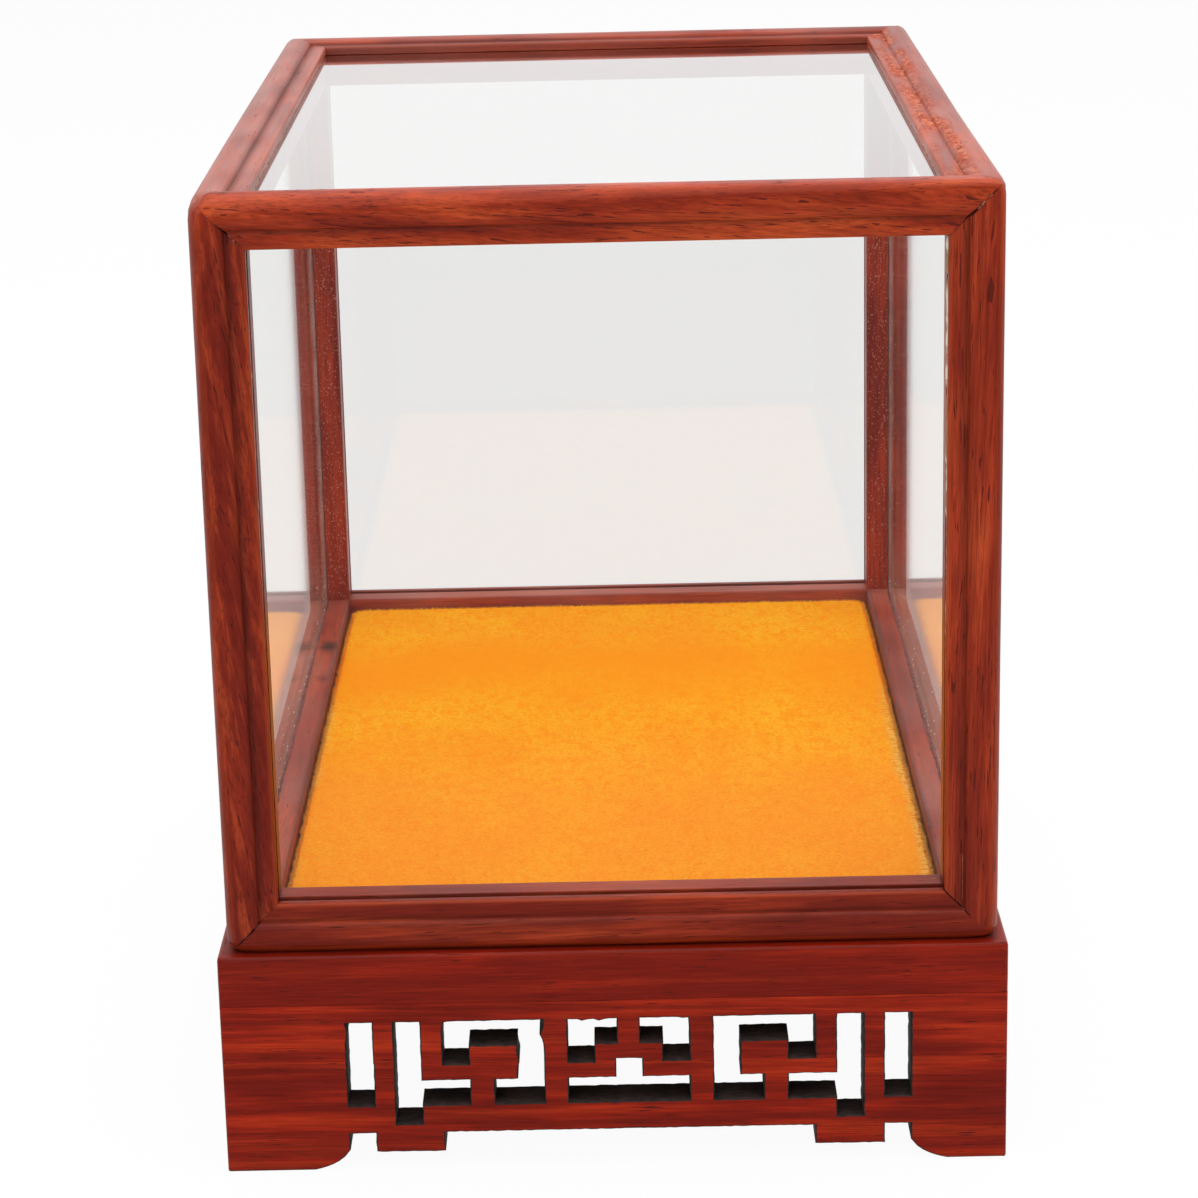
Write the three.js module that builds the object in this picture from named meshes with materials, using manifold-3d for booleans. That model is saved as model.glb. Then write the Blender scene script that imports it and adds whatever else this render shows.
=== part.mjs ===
// A rosewood and glass display case. A glazed cover lifts straight up off a fretted base,
// and a raised platform under a plush sheet keeps the cover in place.
// Millimetres, +Z up, front towards -Y. The origin is on the surface, under the middle of the base.
import * as THREE from "three";
import { mergeVertices } from "three/addons/utils/BufferGeometryUtils.js";
import Module from "manifold-3d";

const wasm = await Module();
wasm.setup();

// The cover, measured over its outer faces
const cover_width = 160.2;
const cover_depth = 232;
const cover_height = 158.7;

// The moulded bar that all twelve edges of the cover are made of, the same from both outer faces
const bar_reach = 11.2; // from an outer face to the inner edge
const bar_corner_radius = 3.2;
const bead_width = 7.2; // the rounded outer band
const bead_turn = 1.5; // where the bead turns down into the quirk, measured along the face
const strip_drop = 1.2; // the flat inner strip lies this far below the bead
const quirk_width = 0.45; // the sharp line between bead and strip
const quirk_depth = 0.5;
const lip_ease = 0.8; // the eased edge beside the glass
const ledge_ease = 0.6; // the eased edge inside the cover
const underside_planed = 0.75; // taken off under the cover so that it sits flat

// The five panes and the grooves that hold them
const glass_thickness = 2;
const glass_setback = 3.4; // from the outer face of a bar to the outer face of a pane
const glass_seat = 2.7; // how far a pane enters its groove
const glass_play = 0.1; // beside each face of a pane
const glass_edge_play = 0.3; // between a pane's edge and the floor of its groove

// The flat frame on top of the base
const base_margin = 1.9; // how far the base stands out past the cover on every side
const frame_height = 11;
const frame_width = 15;
const frame_ease = 0.9;
const deck_ledge = 5; // the step inside the frame that the deck lies on
const deck_thickness = 5.6;
const deck_play = 0.3;

// The raised platform and its plush
const platform_thickness = 6.1;
const platform_play = 0.9; // inside the ring of the cover's bottom rails
const platform_corner_radius = 2.4;
const plush_thickness = 1.7;
const plush_play = 0.6;
const plush_corner_radius = 3.2;
const plush_edge_round = 0.6;
const plush_lift = 0.3; // the plush lies this far above the board

// The four fretted boards with bracket feet
const fret_height = 37.3;
const fret_thickness = 8.7;
const fret_setback = 0.1; // behind the face of the frame
const fret_end = 25.8; // from the end of a board to the middle of the outermost slot
const fret_front_offset = 3; // the front pattern was cut a little to the right
const slot_width = 5.5;
const apron_rise = 8.1;
const block_rise = 3.8; // the blocks that hang below the apron
const toe_width = 7.6; // the curve under the inner side of each foot
const toe_height = 4.4;
const toe_fullness_share = 0.5; // 0 is a straight chamfer, 1 a full round
const fret_column_shares = {
  middle_share: 0,
  tip_share: 0.092,
  inner_share: 0.177,
  leg_share: 0.365,
  hook_share: 0.452,
  arm_share: 0.643,
  post_share: 0.823,
  edge_share: 1,
};
const fret_row_shares = {
  top_share: 0.184,
  short_share: 0.295,
  stem_share: 0.428,
  bottom_share: 0.54,
  deep_share: 0.655,
};

// The glue blocks inside the corners of the base
const corner_block_side = 10;
const corner_block_flat = 4; // what is left of each outer side after the inner corner is cut off
const corner_block_height = 27;

// Fits
const mitre_gap = 0.2;
const glue_line = 0.1;
const rest_gap = 0.05; // between the cover and the base it rests on

// How finely curves are drawn, and how far a cutting shape runs past what it cuts
const corner_steps = 9;
const shoulder_steps = 4;
const overrun = 1;

// Sizes that follow
const base_width = cover_width + 2 * base_margin;
const base_depth = cover_depth + 2 * base_margin;
const base_height = fret_height + glue_line + frame_height;
const groove_near = glass_setback - glass_play;
const groove_far = glass_setback + glass_thickness + glass_play;
const groove_floor = bar_reach - glass_seat - glass_edge_play;
const pane_inset = bar_reach - glass_seat;
const quarter_turn = Math.PI / 2;

const X = new THREE.Vector3(1, 0, 0);
const Y = new THREE.Vector3(0, 1, 0);
const Z = new THREE.Vector3(0, 0, 1);

function cover_wood() {
  return new THREE.MeshStandardMaterial({ color: 0x8f2f1e, roughness: 0.38, metalness: 0 });
}

function base_wood() {
  return new THREE.MeshStandardMaterial({ color: 0x8a2216, roughness: 0.42, metalness: 0 });
}

function inner_board() {
  return new THREE.MeshStandardMaterial({ color: 0x9a6a44, roughness: 0.75, metalness: 0 });
}

function clear_glass() {
  return new THREE.MeshStandardMaterial({
    color: 0xeef3f1,
    roughness: 0.04,
    metalness: 0,
    transparent: true,
    opacity: 0.25,
  });
}

function yellow_plush() {
  return new THREE.MeshStandardMaterial({ color: 0xf0952a, roughness: 0.95, metalness: 0 });
}

// A three.js geometry as a solid that can be cut and joined.
function to_solid(geometry) {
  const bare = new THREE.BufferGeometry();
  const open = geometry.index ? geometry.toNonIndexed() : geometry;
  bare.setAttribute("position", open.getAttribute("position"));
  const merged = mergeVertices(bare);
  const mesh = new wasm.Mesh({
    numProp: 3,
    vertProperties: merged.getAttribute("position").array,
    triVerts: new Uint32Array(merged.index.array),
  });
  return new wasm.Manifold(mesh);
}

// The same solid as a three.js geometry again.
function to_geometry(solid) {
  const mesh = solid.getMesh();
  const geometry = new THREE.BufferGeometry();
  geometry.setAttribute("position", new THREE.BufferAttribute(mesh.vertProperties, mesh.numProp));
  geometry.setIndex(new THREE.BufferAttribute(mesh.triVerts, 1));
  return geometry;
}

function node(name, geometry, material) {
  const mesh = new THREE.Mesh(geometry, material);
  mesh.name = name;
  return mesh;
}

// An outline in the plane of two axes, drawn out along the third from start to end.
function prism(outline, across, up, start, end) {
  const along = new THREE.Vector3().crossVectors(across, up);
  const options = { depth: end - start, bevelEnabled: false, curveSegments: corner_steps };
  const geometry = new THREE.ExtrudeGeometry(outline, options);
  geometry.translate(0, 0, start);
  return geometry.applyMatrix4(new THREE.Matrix4().makeBasis(across, up, along));
}

function polygon(points) {
  return new THREE.Shape(points.map(([a, b]) => new THREE.Vector2(a, b)));
}

function rounded_rectangle(width, depth, radius) {
  const a = width / 2;
  const b = depth / 2;
  const shape = new THREE.Shape();
  shape.moveTo(radius - a, -b);
  shape.lineTo(a - radius, -b);
  shape.absarc(a - radius, radius - b, radius, -quarter_turn, 0, false);
  shape.lineTo(a, b - radius);
  shape.absarc(a - radius, b - radius, radius, 0, quarter_turn, false);
  shape.lineTo(radius - a, b);
  shape.absarc(radius - a, b - radius, radius, quarter_turn, 2 * quarter_turn, false);
  shape.lineTo(-a, radius - b);
  shape.absarc(radius - a, radius - b, radius, 2 * quarter_turn, 3 * quarter_turn, false);
  return shape;
}

// Points of an ellipse between two angles, both ends included.
function arc_points([centre_a, centre_b], [radius_a, radius_b], from, to, steps) {
  return Array.from({ length: steps + 1 }, (_, i) => {
    const angle = from + ((to - from) * i) / steps;
    return [centre_a + radius_a * Math.cos(angle), centre_b + radius_b * Math.sin(angle)];
  });
}

// A trapezium over a piece that is cut at 45 degrees at both ends: first number across the
// piece from its outer face, second number along it from its middle.
function mitre_outline(length, reach) {
  const outer = length / 2 - mitre_gap + overrun;
  const inner = length / 2 - mitre_gap - reach - overrun;
  return polygon([
    [-overrun, -outer],
    [reach + overrun, -inner],
    [reach + overrun, inner],
    [-overrun, outer],
  ]);
}

// One half of the bar's section: from the bead on the first outer face to the inner corner.
function half_section() {
  const centre = [strip_drop, bead_width - bead_turn];
  const radii = [strip_drop, bead_turn];
  const shoulder = arc_points(centre, radii, 2 * quarter_turn, quarter_turn, shoulder_steps);
  return [
    ...shoulder,
    [strip_drop + quirk_depth, bead_width],
    [strip_drop, bead_width + quirk_width],
    [strip_drop, bar_reach - lip_ease],
    [strip_drop + lip_ease, bar_reach],
    [groove_near, bar_reach],
    [groove_near, groove_floor],
    [groove_far, groove_floor],
    [groove_far, bar_reach],
    [bar_reach - ledge_ease, bar_reach],
  ];
}

// The whole section, with the outer corner at zero. Both numbers are distances inwards.
function bar_section() {
  const radii = [bar_corner_radius, bar_corner_radius];
  const corner = arc_points(radii, radii, 3 * quarter_turn, 2 * quarter_turn, corner_steps);
  const first = half_section();
  const second = half_section()
    .map(([a, b]) => [b, a])
    .reverse();
  return polygon([...corner, ...first, ...second]);
}

// A bar from corner to corner, each end cut at 45 degrees as seen from both outer faces, so
// that three bars meet in one point. It lies along Z, with its outer faces on X zero and Y zero.
function mitred_bar(length) {
  const bar = to_solid(prism(bar_section(), X, Y, -length / 2, length / 2));
  const mitres = mitre_outline(length, bar_reach);
  const over_first = to_solid(prism(mitres, X, Z, -bar_reach - overrun, overrun));
  const over_second = to_solid(prism(mitres, Y, Z, -overrun, bar_reach + overrun));
  return bar.intersect(over_first).intersect(over_second);
}

// Everything that the plane takes off the underside of the cover, in the cover's own frame.
function planed_away() {
  const block = new THREE.BoxGeometry(
    cover_width + overrun,
    cover_depth + overrun,
    underside_planed + overrun,
  );
  return to_solid(block.translate(0, 0, -(underside_planed + overrun) / 2));
}

// Turns a bar into the cover's frame: inwards_a and inwards_b point in from its outer faces.
function placed_bar(length, inwards_a, inwards_b, corner) {
  const along = new THREE.Vector3().crossVectors(inwards_a, inwards_b);
  const placing = new THREE.Matrix4().makeBasis(inwards_a, inwards_b, along).setPosition(corner);
  return to_solid(to_geometry(mitred_bar(length)).applyMatrix4(placing));
}

function side_name(sign_x, sign_y) {
  if (sign_x !== 0 && sign_y !== 0) {
    return (sign_y < 0 ? "front_" : "back_") + (sign_x < 0 ? "left" : "right");
  }
  if (sign_x === 0) {
    return sign_y < 0 ? "front" : "back";
  }
  return sign_x < 0 ? "left" : "right";
}

const corner_signs = [
  [-1, -1],
  [1, -1],
  [-1, 1],
  [1, 1],
];
const side_signs = [
  [0, -1],
  [0, 1],
  [-1, 0],
  [1, 0],
];

function cover_posts() {
  const foot = -underside_planed;
  return corner_signs.map(([sx, sy]) => {
    const corner = new THREE.Vector3(
      (sx * cover_width) / 2,
      (sy * cover_depth) / 2,
      (foot + cover_height) / 2,
    );
    const inwards_x = X.clone().multiplyScalar(-sx);
    const inwards_y = Y.clone().multiplyScalar(-sy);
    const post = placed_bar(cover_height - foot, inwards_x, inwards_y, corner);
    const name = "cover_post_" + side_name(sx, sy);
    return node(name, to_geometry(post.subtract(planed_away())), cover_wood());
  });
}

// The four rails at the top or the bottom of the cover. level is where their outer corner lies.
function cover_rails(name, level, inwards_up) {
  return side_signs.map(([sx, sy]) => {
    const corner = new THREE.Vector3((sx * cover_width) / 2, (sy * cover_depth) / 2, level);
    const inwards = new THREE.Vector3(-sx, -sy, 0);
    const length = sx === 0 ? cover_width : cover_depth;
    const rail = placed_bar(length, inwards, inwards_up, corner);
    return node(
      name + "_" + side_name(sx, sy),
      to_geometry(rail.subtract(planed_away())),
      cover_wood(),
    );
  });
}

function pane(name, width, depth, height, place) {
  const mesh = node(name, new THREE.BoxGeometry(width, depth, height), clear_glass());
  mesh.position.set(...place);
  return mesh;
}

function cover_panes() {
  const middle_in = glass_setback + glass_thickness / 2;
  const wide = cover_width - 2 * pane_inset;
  const deep = cover_depth - 2 * pane_inset;
  const low = pane_inset - underside_planed;
  const high = cover_height - pane_inset;
  const tall = high - low;
  const middle_z = (low + high) / 2;
  const upright = side_signs.map(([sx, sy]) => {
    const name = "glass_" + side_name(sx, sy);
    if (sx === 0) {
      return pane(name, wide, glass_thickness, tall, [0, sy * (cover_depth / 2 - middle_in), middle_z]);
    }
    return pane(name, glass_thickness, deep, tall, [sx * (cover_width / 2 - middle_in), 0, middle_z]);
  });
  return [...upright, pane("glass_top", wide, deep, glass_thickness, [0, 0, cover_height - middle_in])];
}

function cover() {
  const group = new THREE.Group();
  group.add(...cover_posts());
  group.add(...cover_rails("cover_top_rail", cover_height, Z.clone().negate()));
  group.add(...cover_rails("cover_bottom_rail", -underside_planed, Z));
  group.add(...cover_panes());
  group.position.z = base_height + rest_gap;
  return group;
}

// A piece of the base that runs along one side with 45 degree ends. The solid is drawn along X
// with its outer face on Y zero and its inside towards +Y, and is then turned to its side.
function side_piece(name, solid, length, reach, sx, sy, outer_width, outer_depth, material) {
  const mitres = to_solid(prism(mitre_outline(length, reach), Y, X, -base_height, overrun));
  const mesh = node(name, to_geometry(solid.intersect(mitres)), material);
  if (sx === 0) {
    mesh.rotation.z = sy < 0 ? 0 : 2 * quarter_turn;
    mesh.position.y = (sy * outer_depth) / 2;
  } else {
    mesh.rotation.z = sx < 0 ? -quarter_turn : quarter_turn;
    mesh.position.x = (sx * outer_width) / 2;
  }
  return mesh;
}

// The frame's section: first number inwards from the face, second number up from its underside.
function frame_section() {
  const centre = [frame_ease, frame_height - frame_ease];
  const radii = [frame_ease, frame_ease];
  const round = arc_points(centre, radii, 2 * quarter_turn, quarter_turn, shoulder_steps);
  const ledge_height = frame_height - deck_thickness - glue_line;
  return polygon([
    [0, 0],
    ...round,
    [frame_width - deck_ledge, frame_height],
    [frame_width - deck_ledge, ledge_height],
    [frame_width, ledge_height],
    [frame_width, 0],
  ]);
}

function frame_rails() {
  return side_signs.map(([sx, sy]) => {
    const length = sx === 0 ? base_width : base_depth;
    const rail = to_solid(prism(frame_section(), Y, Z, -length / 2, length / 2));
    const name = "base_frame_rail_" + side_name(sx, sy);
    const mesh = side_piece(name, rail, length, frame_width, sx, sy, base_width, base_depth, base_wood());
    mesh.position.z = fret_height + glue_line;
    return mesh;
  });
}

// The front of a fretted board without its slots: two bracket feet with curved toes, a notch
// and a hanging block beside each foot, and the apron between the blocks.
function fret_outline(length, reach, offset) {
  const end = length / 2;
  const foot = reach + slot_width / 2;
  const notch = reach - slot_width / 2;
  const block = reach * fret_column_shares.arm_share + slot_width / 2;
  const toe = foot + toe_width;
  const toe_middle = foot + (toe_width / 2) * (1 - toe_fullness_share);
  const toe_middle_height = (toe_height / 2) * (1 - toe_fullness_share);
  const shape = new THREE.Shape();
  shape.moveTo(-end, 0);
  shape.lineTo(offset - toe, 0);
  shape.quadraticCurveTo(offset - toe_middle, toe_middle_height, offset - foot, toe_height);
  shape.lineTo(offset - foot, apron_rise);
  shape.lineTo(offset - notch, apron_rise);
  shape.lineTo(offset - notch, block_rise);
  shape.lineTo(offset - block, block_rise);
  shape.lineTo(offset - block, apron_rise);
  shape.lineTo(offset + block, apron_rise);
  shape.lineTo(offset + block, block_rise);
  shape.lineTo(offset + notch, block_rise);
  shape.lineTo(offset + notch, apron_rise);
  shape.lineTo(offset + foot, apron_rise);
  shape.lineTo(offset + foot, toe_height);
  shape.quadraticCurveTo(offset + toe_middle, toe_middle_height, offset + toe, 0);
  shape.lineTo(end, 0);
  shape.lineTo(end, fret_height);
  shape.lineTo(-end, fret_height);
  return shape;
}

// Every stroke of the fret, as two ends on its centre line: column and row, then column and row.
function fret_strokes() {
  const c = fret_column_shares;
  const r = fret_row_shares;
  const half = [
    [c.edge_share, r.top_share, c.edge_share, r.bottom_share],
    [c.post_share, r.top_share, c.post_share, r.deep_share],
    [c.arm_share, r.bottom_share, c.post_share, r.bottom_share],
    [c.leg_share, r.top_share, c.arm_share, r.top_share],
    [c.arm_share, r.top_share, c.arm_share, r.short_share],
    [c.leg_share, r.top_share, c.leg_share, r.bottom_share],
    [c.leg_share, r.bottom_share, c.hook_share, r.bottom_share],
    [c.tip_share, r.top_share, c.inner_share, r.top_share],
    [c.inner_share, r.top_share, c.inner_share, r.short_share],
  ];
  const mirrored = half.map(([a, top, b, low]) => [-b, low, -a, top]);
  const middle = [
    [-c.inner_share, r.bottom_share, c.inner_share, r.bottom_share],
    [c.middle_share, r.stem_share, c.middle_share, r.bottom_share],
  ];
  return [...half, ...mirrored, ...middle];
}

function fret_board(length, reach, offset) {
  const outline = fret_outline(length, reach, offset);
  let board = to_solid(prism(outline, X, Z, -fret_thickness, 0));
  for (const [column_a, row_a, column_b, row_b] of fret_strokes()) {
    const wide = Math.abs(column_b - column_a) * reach + slot_width;
    const tall = Math.abs(row_b - row_a) * fret_height + slot_width;
    const box = new THREE.BoxGeometry(wide, fret_thickness + 2 * overrun, tall);
    const middle_x = offset + ((column_a + column_b) / 2) * reach;
    const middle_z = fret_height * (1 - (row_a + row_b) / 2);
    board = board.subtract(to_solid(box.translate(middle_x, fret_thickness / 2, middle_z)));
  }
  return board;
}

function fret_boards() {
  const outer_width = base_width - 2 * fret_setback;
  const outer_depth = base_depth - 2 * fret_setback;
  return side_signs.map(([sx, sy]) => {
    const length = sx === 0 ? outer_width : outer_depth;
    const reach = length / 2 - fret_end;
    const offset = sy < 0 ? fret_front_offset : 0;
    const board = fret_board(length, reach, offset);
    const name = "fret_board_" + side_name(sx, sy);
    return side_piece(name, board, length, fret_thickness, sx, sy, outer_width, outer_depth, base_wood());
  });
}

function corner_blocks() {
  const inside_x = base_width / 2 - fret_setback - fret_thickness - glue_line;
  const inside_y = base_depth / 2 - fret_setback - fret_thickness - glue_line;
  const outline = polygon([
    [0, 0],
    [corner_block_side, 0],
    [corner_block_side, corner_block_flat],
    [corner_block_flat, corner_block_side],
    [0, corner_block_side],
  ]);
  const turns = { front_left: 0, front_right: 1, back_right: 2, back_left: 3 };
  return corner_signs.map(([sx, sy]) => {
    const side = side_name(sx, sy);
    const mesh = node("corner_block_" + side, prism(outline, X, Y, 0, corner_block_height), inner_board());
    mesh.rotation.z = turns[side] * quarter_turn;
    mesh.position.set(sx * inside_x, sy * inside_y, fret_height - corner_block_height);
    return mesh;
  });
}

function deck() {
  const inset = 2 * (frame_width - deck_ledge + deck_play);
  const box = new THREE.BoxGeometry(base_width - inset, base_depth - inset, deck_thickness);
  const mesh = node("base_deck", box, inner_board());
  mesh.position.z = base_height - deck_thickness / 2;
  return mesh;
}

function platform() {
  const inset = 2 * (bar_reach + platform_play);
  const outline = rounded_rectangle(cover_width - inset, cover_depth - inset, platform_corner_radius);
  const board = prism(outline, X, Y, 0, platform_thickness);
  const mesh = node("platform_board", board, inner_board());
  mesh.position.z = base_height + glue_line;
  return mesh;
}

function plush() {
  const inset = 2 * (bar_reach + plush_play + plush_edge_round);
  const radius = plush_corner_radius - plush_edge_round;
  const outline = rounded_rectangle(cover_width - inset, cover_depth - inset, radius);
  const sheet = new THREE.ExtrudeGeometry(outline, {
    depth: plush_thickness - 2 * plush_edge_round,
    bevelEnabled: true,
    bevelThickness: plush_edge_round,
    bevelSize: plush_edge_round,
    bevelSegments: shoulder_steps,
    curveSegments: corner_steps,
  });
  const mesh = node("plush_sheet", sheet, yellow_plush());
  mesh.position.z = base_height + glue_line + platform_thickness + plush_lift + plush_edge_round;
  return mesh;
}

function base() {
  const group = new THREE.Group();
  group.add(...fret_boards(), ...corner_blocks(), ...frame_rails(), deck(), platform(), plush());
  return group;
}

const display_case = new THREE.Group();
display_case.add(base(), cover());

export default display_case;
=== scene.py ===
# %% [markdown]
# # A rosewood and glass display case
# A glazed cover lifts straight up off a fretted base. The base carries a raised board, and a
# sheet of yellow plush lies on it for the thing on show.
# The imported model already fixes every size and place, so this lesson dresses it: each wooden
# piece is made again with softened edges and small hand-made faults, the plush gets its pile,
# and every surface gets a finish built from nodes.

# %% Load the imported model
import math
import random
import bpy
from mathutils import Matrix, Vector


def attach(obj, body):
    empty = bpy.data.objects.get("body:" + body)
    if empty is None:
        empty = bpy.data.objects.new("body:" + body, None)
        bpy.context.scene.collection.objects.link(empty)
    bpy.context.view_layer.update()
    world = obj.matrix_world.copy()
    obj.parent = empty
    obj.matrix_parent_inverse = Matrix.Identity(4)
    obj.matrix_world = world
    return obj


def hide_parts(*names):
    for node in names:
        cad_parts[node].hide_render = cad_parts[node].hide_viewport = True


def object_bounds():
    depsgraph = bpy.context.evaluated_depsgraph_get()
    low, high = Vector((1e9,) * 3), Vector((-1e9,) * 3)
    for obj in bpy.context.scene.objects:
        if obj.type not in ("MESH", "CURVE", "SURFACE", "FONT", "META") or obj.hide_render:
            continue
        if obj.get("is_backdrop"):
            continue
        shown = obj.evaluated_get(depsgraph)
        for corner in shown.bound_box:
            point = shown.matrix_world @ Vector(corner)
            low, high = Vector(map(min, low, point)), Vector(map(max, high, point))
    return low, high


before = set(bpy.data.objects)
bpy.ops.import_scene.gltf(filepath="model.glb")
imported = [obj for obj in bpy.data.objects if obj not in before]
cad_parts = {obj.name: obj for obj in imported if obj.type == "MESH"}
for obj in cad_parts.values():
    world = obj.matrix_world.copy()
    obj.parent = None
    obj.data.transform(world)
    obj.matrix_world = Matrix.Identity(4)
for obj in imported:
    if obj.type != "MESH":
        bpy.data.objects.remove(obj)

from types import SimpleNamespace

import bmesh
import bpy
import numpy as np
from mathutils import Matrix, Vector, noise

cad_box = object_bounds()

# %% [markdown]
# ## Sizes
# The joiner's own sizes are easier to read in millimetres than in metres. They are the same as
# in the source of the part, because the pieces made here have to take the place of its solids.
# One factor turns them into metres when a mesh is written.

# %% Sizes in millimetres
MM = 0.001
COVER = Vector((160.2, 232.0, 158.7))
BAR_REACH = 11.2  # from an outer face of a bar to its inner edge
BAR_ROUND = 3.2
BEAD_WIDTH = 7.2
BEAD_TURN = 2.4  # how far from its edge the bead begins to fall away
STRIP_DROP = 1.2
VALLEY_DEPTH = 0.2  # the line between bead and strip, half filled by old polish
VALLEY_WIDTH = 1.4
LIP_EASE = 0.8
LEDGE_EASE = 0.6
PLANED = 0.75
GROOVE = (3.3, 5.5, 8.2)  # near wall, far wall and floor
PANE_IN = 3.4  # from an outer face of the cover to the pane
PANE_THICK = 2.0
BASE_MARGIN = 1.9
FRAME_HEIGHT = 11.0
FRAME_WIDTH = 15.0
FRAME_EASE = 0.9
DECK_LEDGE = 5.0
DECK_SEAT = 5.3
FRET_HEIGHT = 37.3
FRET_THICK = 8.7
FRET_SETBACK = 0.04
FRET_END = 25.8
FRET_SHIFT = 3.0
SLOT = 5.5
GLUE = 0.1
BASE_HEIGHT = FRET_HEIGHT + GLUE + FRAME_HEIGHT
COVER_FOOT = BASE_HEIGHT + 0.05
COVER_TOP = COVER_FOOT + COVER.z
BASE = Vector((COVER.x + 2 * BASE_MARGIN, COVER.y + 2 * BASE_MARGIN, BASE_HEIGHT))
print("cover", tuple(COVER), "base", tuple(BASE), "top at", round(COVER_TOP, 2))

# %% [markdown]
# ## The camera
# The picture was taken from in front and a little above, with a long lens, so that the case's
# sides run back gently. The turn of the camera is written as three axes, because the case
# leans by about one degree in the picture and a track-to constraint would lose that roll.

# %% Camera
PICTURE = 1198
FOCAL_PIXELS = 3515.2
SENSOR = 36.0
PITCH, ROLL, YAW = 0.2906, -0.0225, -0.00585
EYE = Vector((2.85, -793.1, 326.25))

look = Vector((math.sin(YAW) * math.cos(PITCH), math.cos(YAW) * math.cos(PITCH), -math.sin(PITCH)))
level = Vector((math.cos(YAW), -math.sin(YAW), 0.0))
above = level.cross(look)
across = math.cos(ROLL) * level + math.sin(ROLL) * above
upright = -math.sin(ROLL) * level + math.cos(ROLL) * above

lens = bpy.data.cameras.new("camera")
lens.sensor_width = SENSOR
lens.lens = SENSOR * FOCAL_PIXELS / PICTURE
lens.clip_start = 0.01
camera = bpy.data.objects.new("camera", lens)
turn = Matrix((across, upright, -look)).transposed().to_4x4()
camera.matrix_world = Matrix.Translation(EYE * MM) @ turn
bpy.context.collection.objects.link(camera)
bpy.context.scene.camera = camera
print("lens", round(lens.lens, 2), "mm")

# %% [markdown]
# ## Helpers for finishes
# A finish is a small network of nodes. These helpers add one node at a time and join it up, so
# that each recipe below reads from the surface's coordinates to its colour.

# %% Helpers for nodes
def colour(red, green, blue):
    """A colour as seen on a screen, from 0 to 255, turned into the linear light nodes use."""
    parts = [c / 255 for c in (red, green, blue)]
    return [c / 12.92 if c <= 0.04045 else ((c + 0.055) / 1.055) ** 2.4 for c in parts] + [1.0]


def add(tree, kind, inputs=None, **settings):
    made = tree.nodes.new(kind)
    for key, value in settings.items():
        setattr(made, key, value)
    for key, value in (inputs or {}).items():
        if isinstance(value, bpy.types.NodeSocket):
            tree.links.new(value, made.inputs[key])
        else:
            made.inputs[key].default_value = value
    return made


def attribute(tree, name, output="Fac"):
    return add(tree, "ShaderNodeAttribute", attribute_name=name).outputs[output]


def maths(tree, operation, a, b=0.0):
    return add(tree, "ShaderNodeMath", {0: a, 1: b}, operation=operation).outputs[0]


def cloudy(tree, at, stretch, detail=3.0, roughness=0.55, shift=(0.0, 0.0, 0.0)):
    """Soft noise, stretched along each axis of the coordinates."""
    placed = add(tree, "ShaderNodeMapping", {"Vector": at, "Scale": stretch, "Location": shift})
    inputs = {"Vector": placed.outputs[0], "Scale": 1.0, "Detail": detail, "Roughness": roughness}
    return add(tree, "ShaderNodeTexNoise", inputs).outputs["Fac"]


def between(tree, value, low, high, to_low=0.0, to_high=1.0):
    """A smooth step from to_low to to_high as the value goes from low to high."""
    inputs = {0: value, 1: low, 2: high, 3: to_low, 4: to_high}
    made = add(tree, "ShaderNodeMapRange", inputs, interpolation_type="SMOOTHSTEP")
    return made.outputs[0]


def mixed(tree, share, first, second, blend="MIX"):
    inputs = {0: share, 6: first, 7: second}
    return add(tree, "ShaderNodeMix", inputs, data_type="RGBA", blend_type=blend).outputs[2]


def times(tree, a, b):
    return maths(tree, "MULTIPLY", a, b)


def plus(tree, a, b):
    return maths(tree, "ADD", a, b)


# %% [markdown]
# ## Helpers for surfaces
# Most finishes here end in the same way: some tints laid over each other, then one surface with
# a roughness and a fine relief. These helpers say that once.

# %% Helpers for surfaces
def object_place(tree):
    """Where a point lies, in metres, in the coordinates of its own piece."""
    return add(tree, "ShaderNodeTexCoord").outputs["Object"]


def layered(tree, body, layers):
    """Lays tints over a colour in turn, each growing as its value goes from low to high."""
    for value, low, high, most, tint in layers:
        body = mixed(tree, between(tree, value, low, high, 0.0, most), body, colour(*tint))
    return body


def surface(tree, body, roughness, height, strength, distance, gloss=None):
    """A surface with its colour, its roughness and a fine relief up to a distance in metres."""
    bump = add(tree, "ShaderNodeBump", {"Height": height, "Strength": strength, "Distance": distance})
    inputs = {"Base Color": body, "Roughness": roughness, "Normal": bump.outputs[0]}
    return add(tree, "ShaderNodeBsdfPrincipled", inputs | (gloss or {})).outputs[0]


def two_shaders(tree, share, first, second):
    return add(tree, "ShaderNodeMixShader", {0: share, 1: first, 2: second}).outputs[0]


def finish(name, build):
    """Makes a material whose network is made by build(tree), which returns the surface's shader."""
    material = bpy.data.materials.new(name)
    material.use_nodes = True
    tree = material.node_tree
    tree.nodes.clear()
    add(tree, "ShaderNodeOutputMaterial", {"Surface": build(tree)})
    print("finish", name, len(tree.nodes), "nodes")
    return material


# %% [markdown]
# ## Rosewood
# The real wood is oily, red-brown and close-grained. Seen near, it shows slow drifts between
# maroon and orange-brown, dark bands along the bar, fine threads and hairs, and short dark
# pores. An image of wood would do, but it would repeat and would not turn with each bar. Here
# every piece carries its own grain coordinates, in millimetres across, across and along the
# bar. Noise that is stretched along the third one always follows the piece, and a mitre shows
# the grain changing direction as it does in real joinery.

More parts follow.
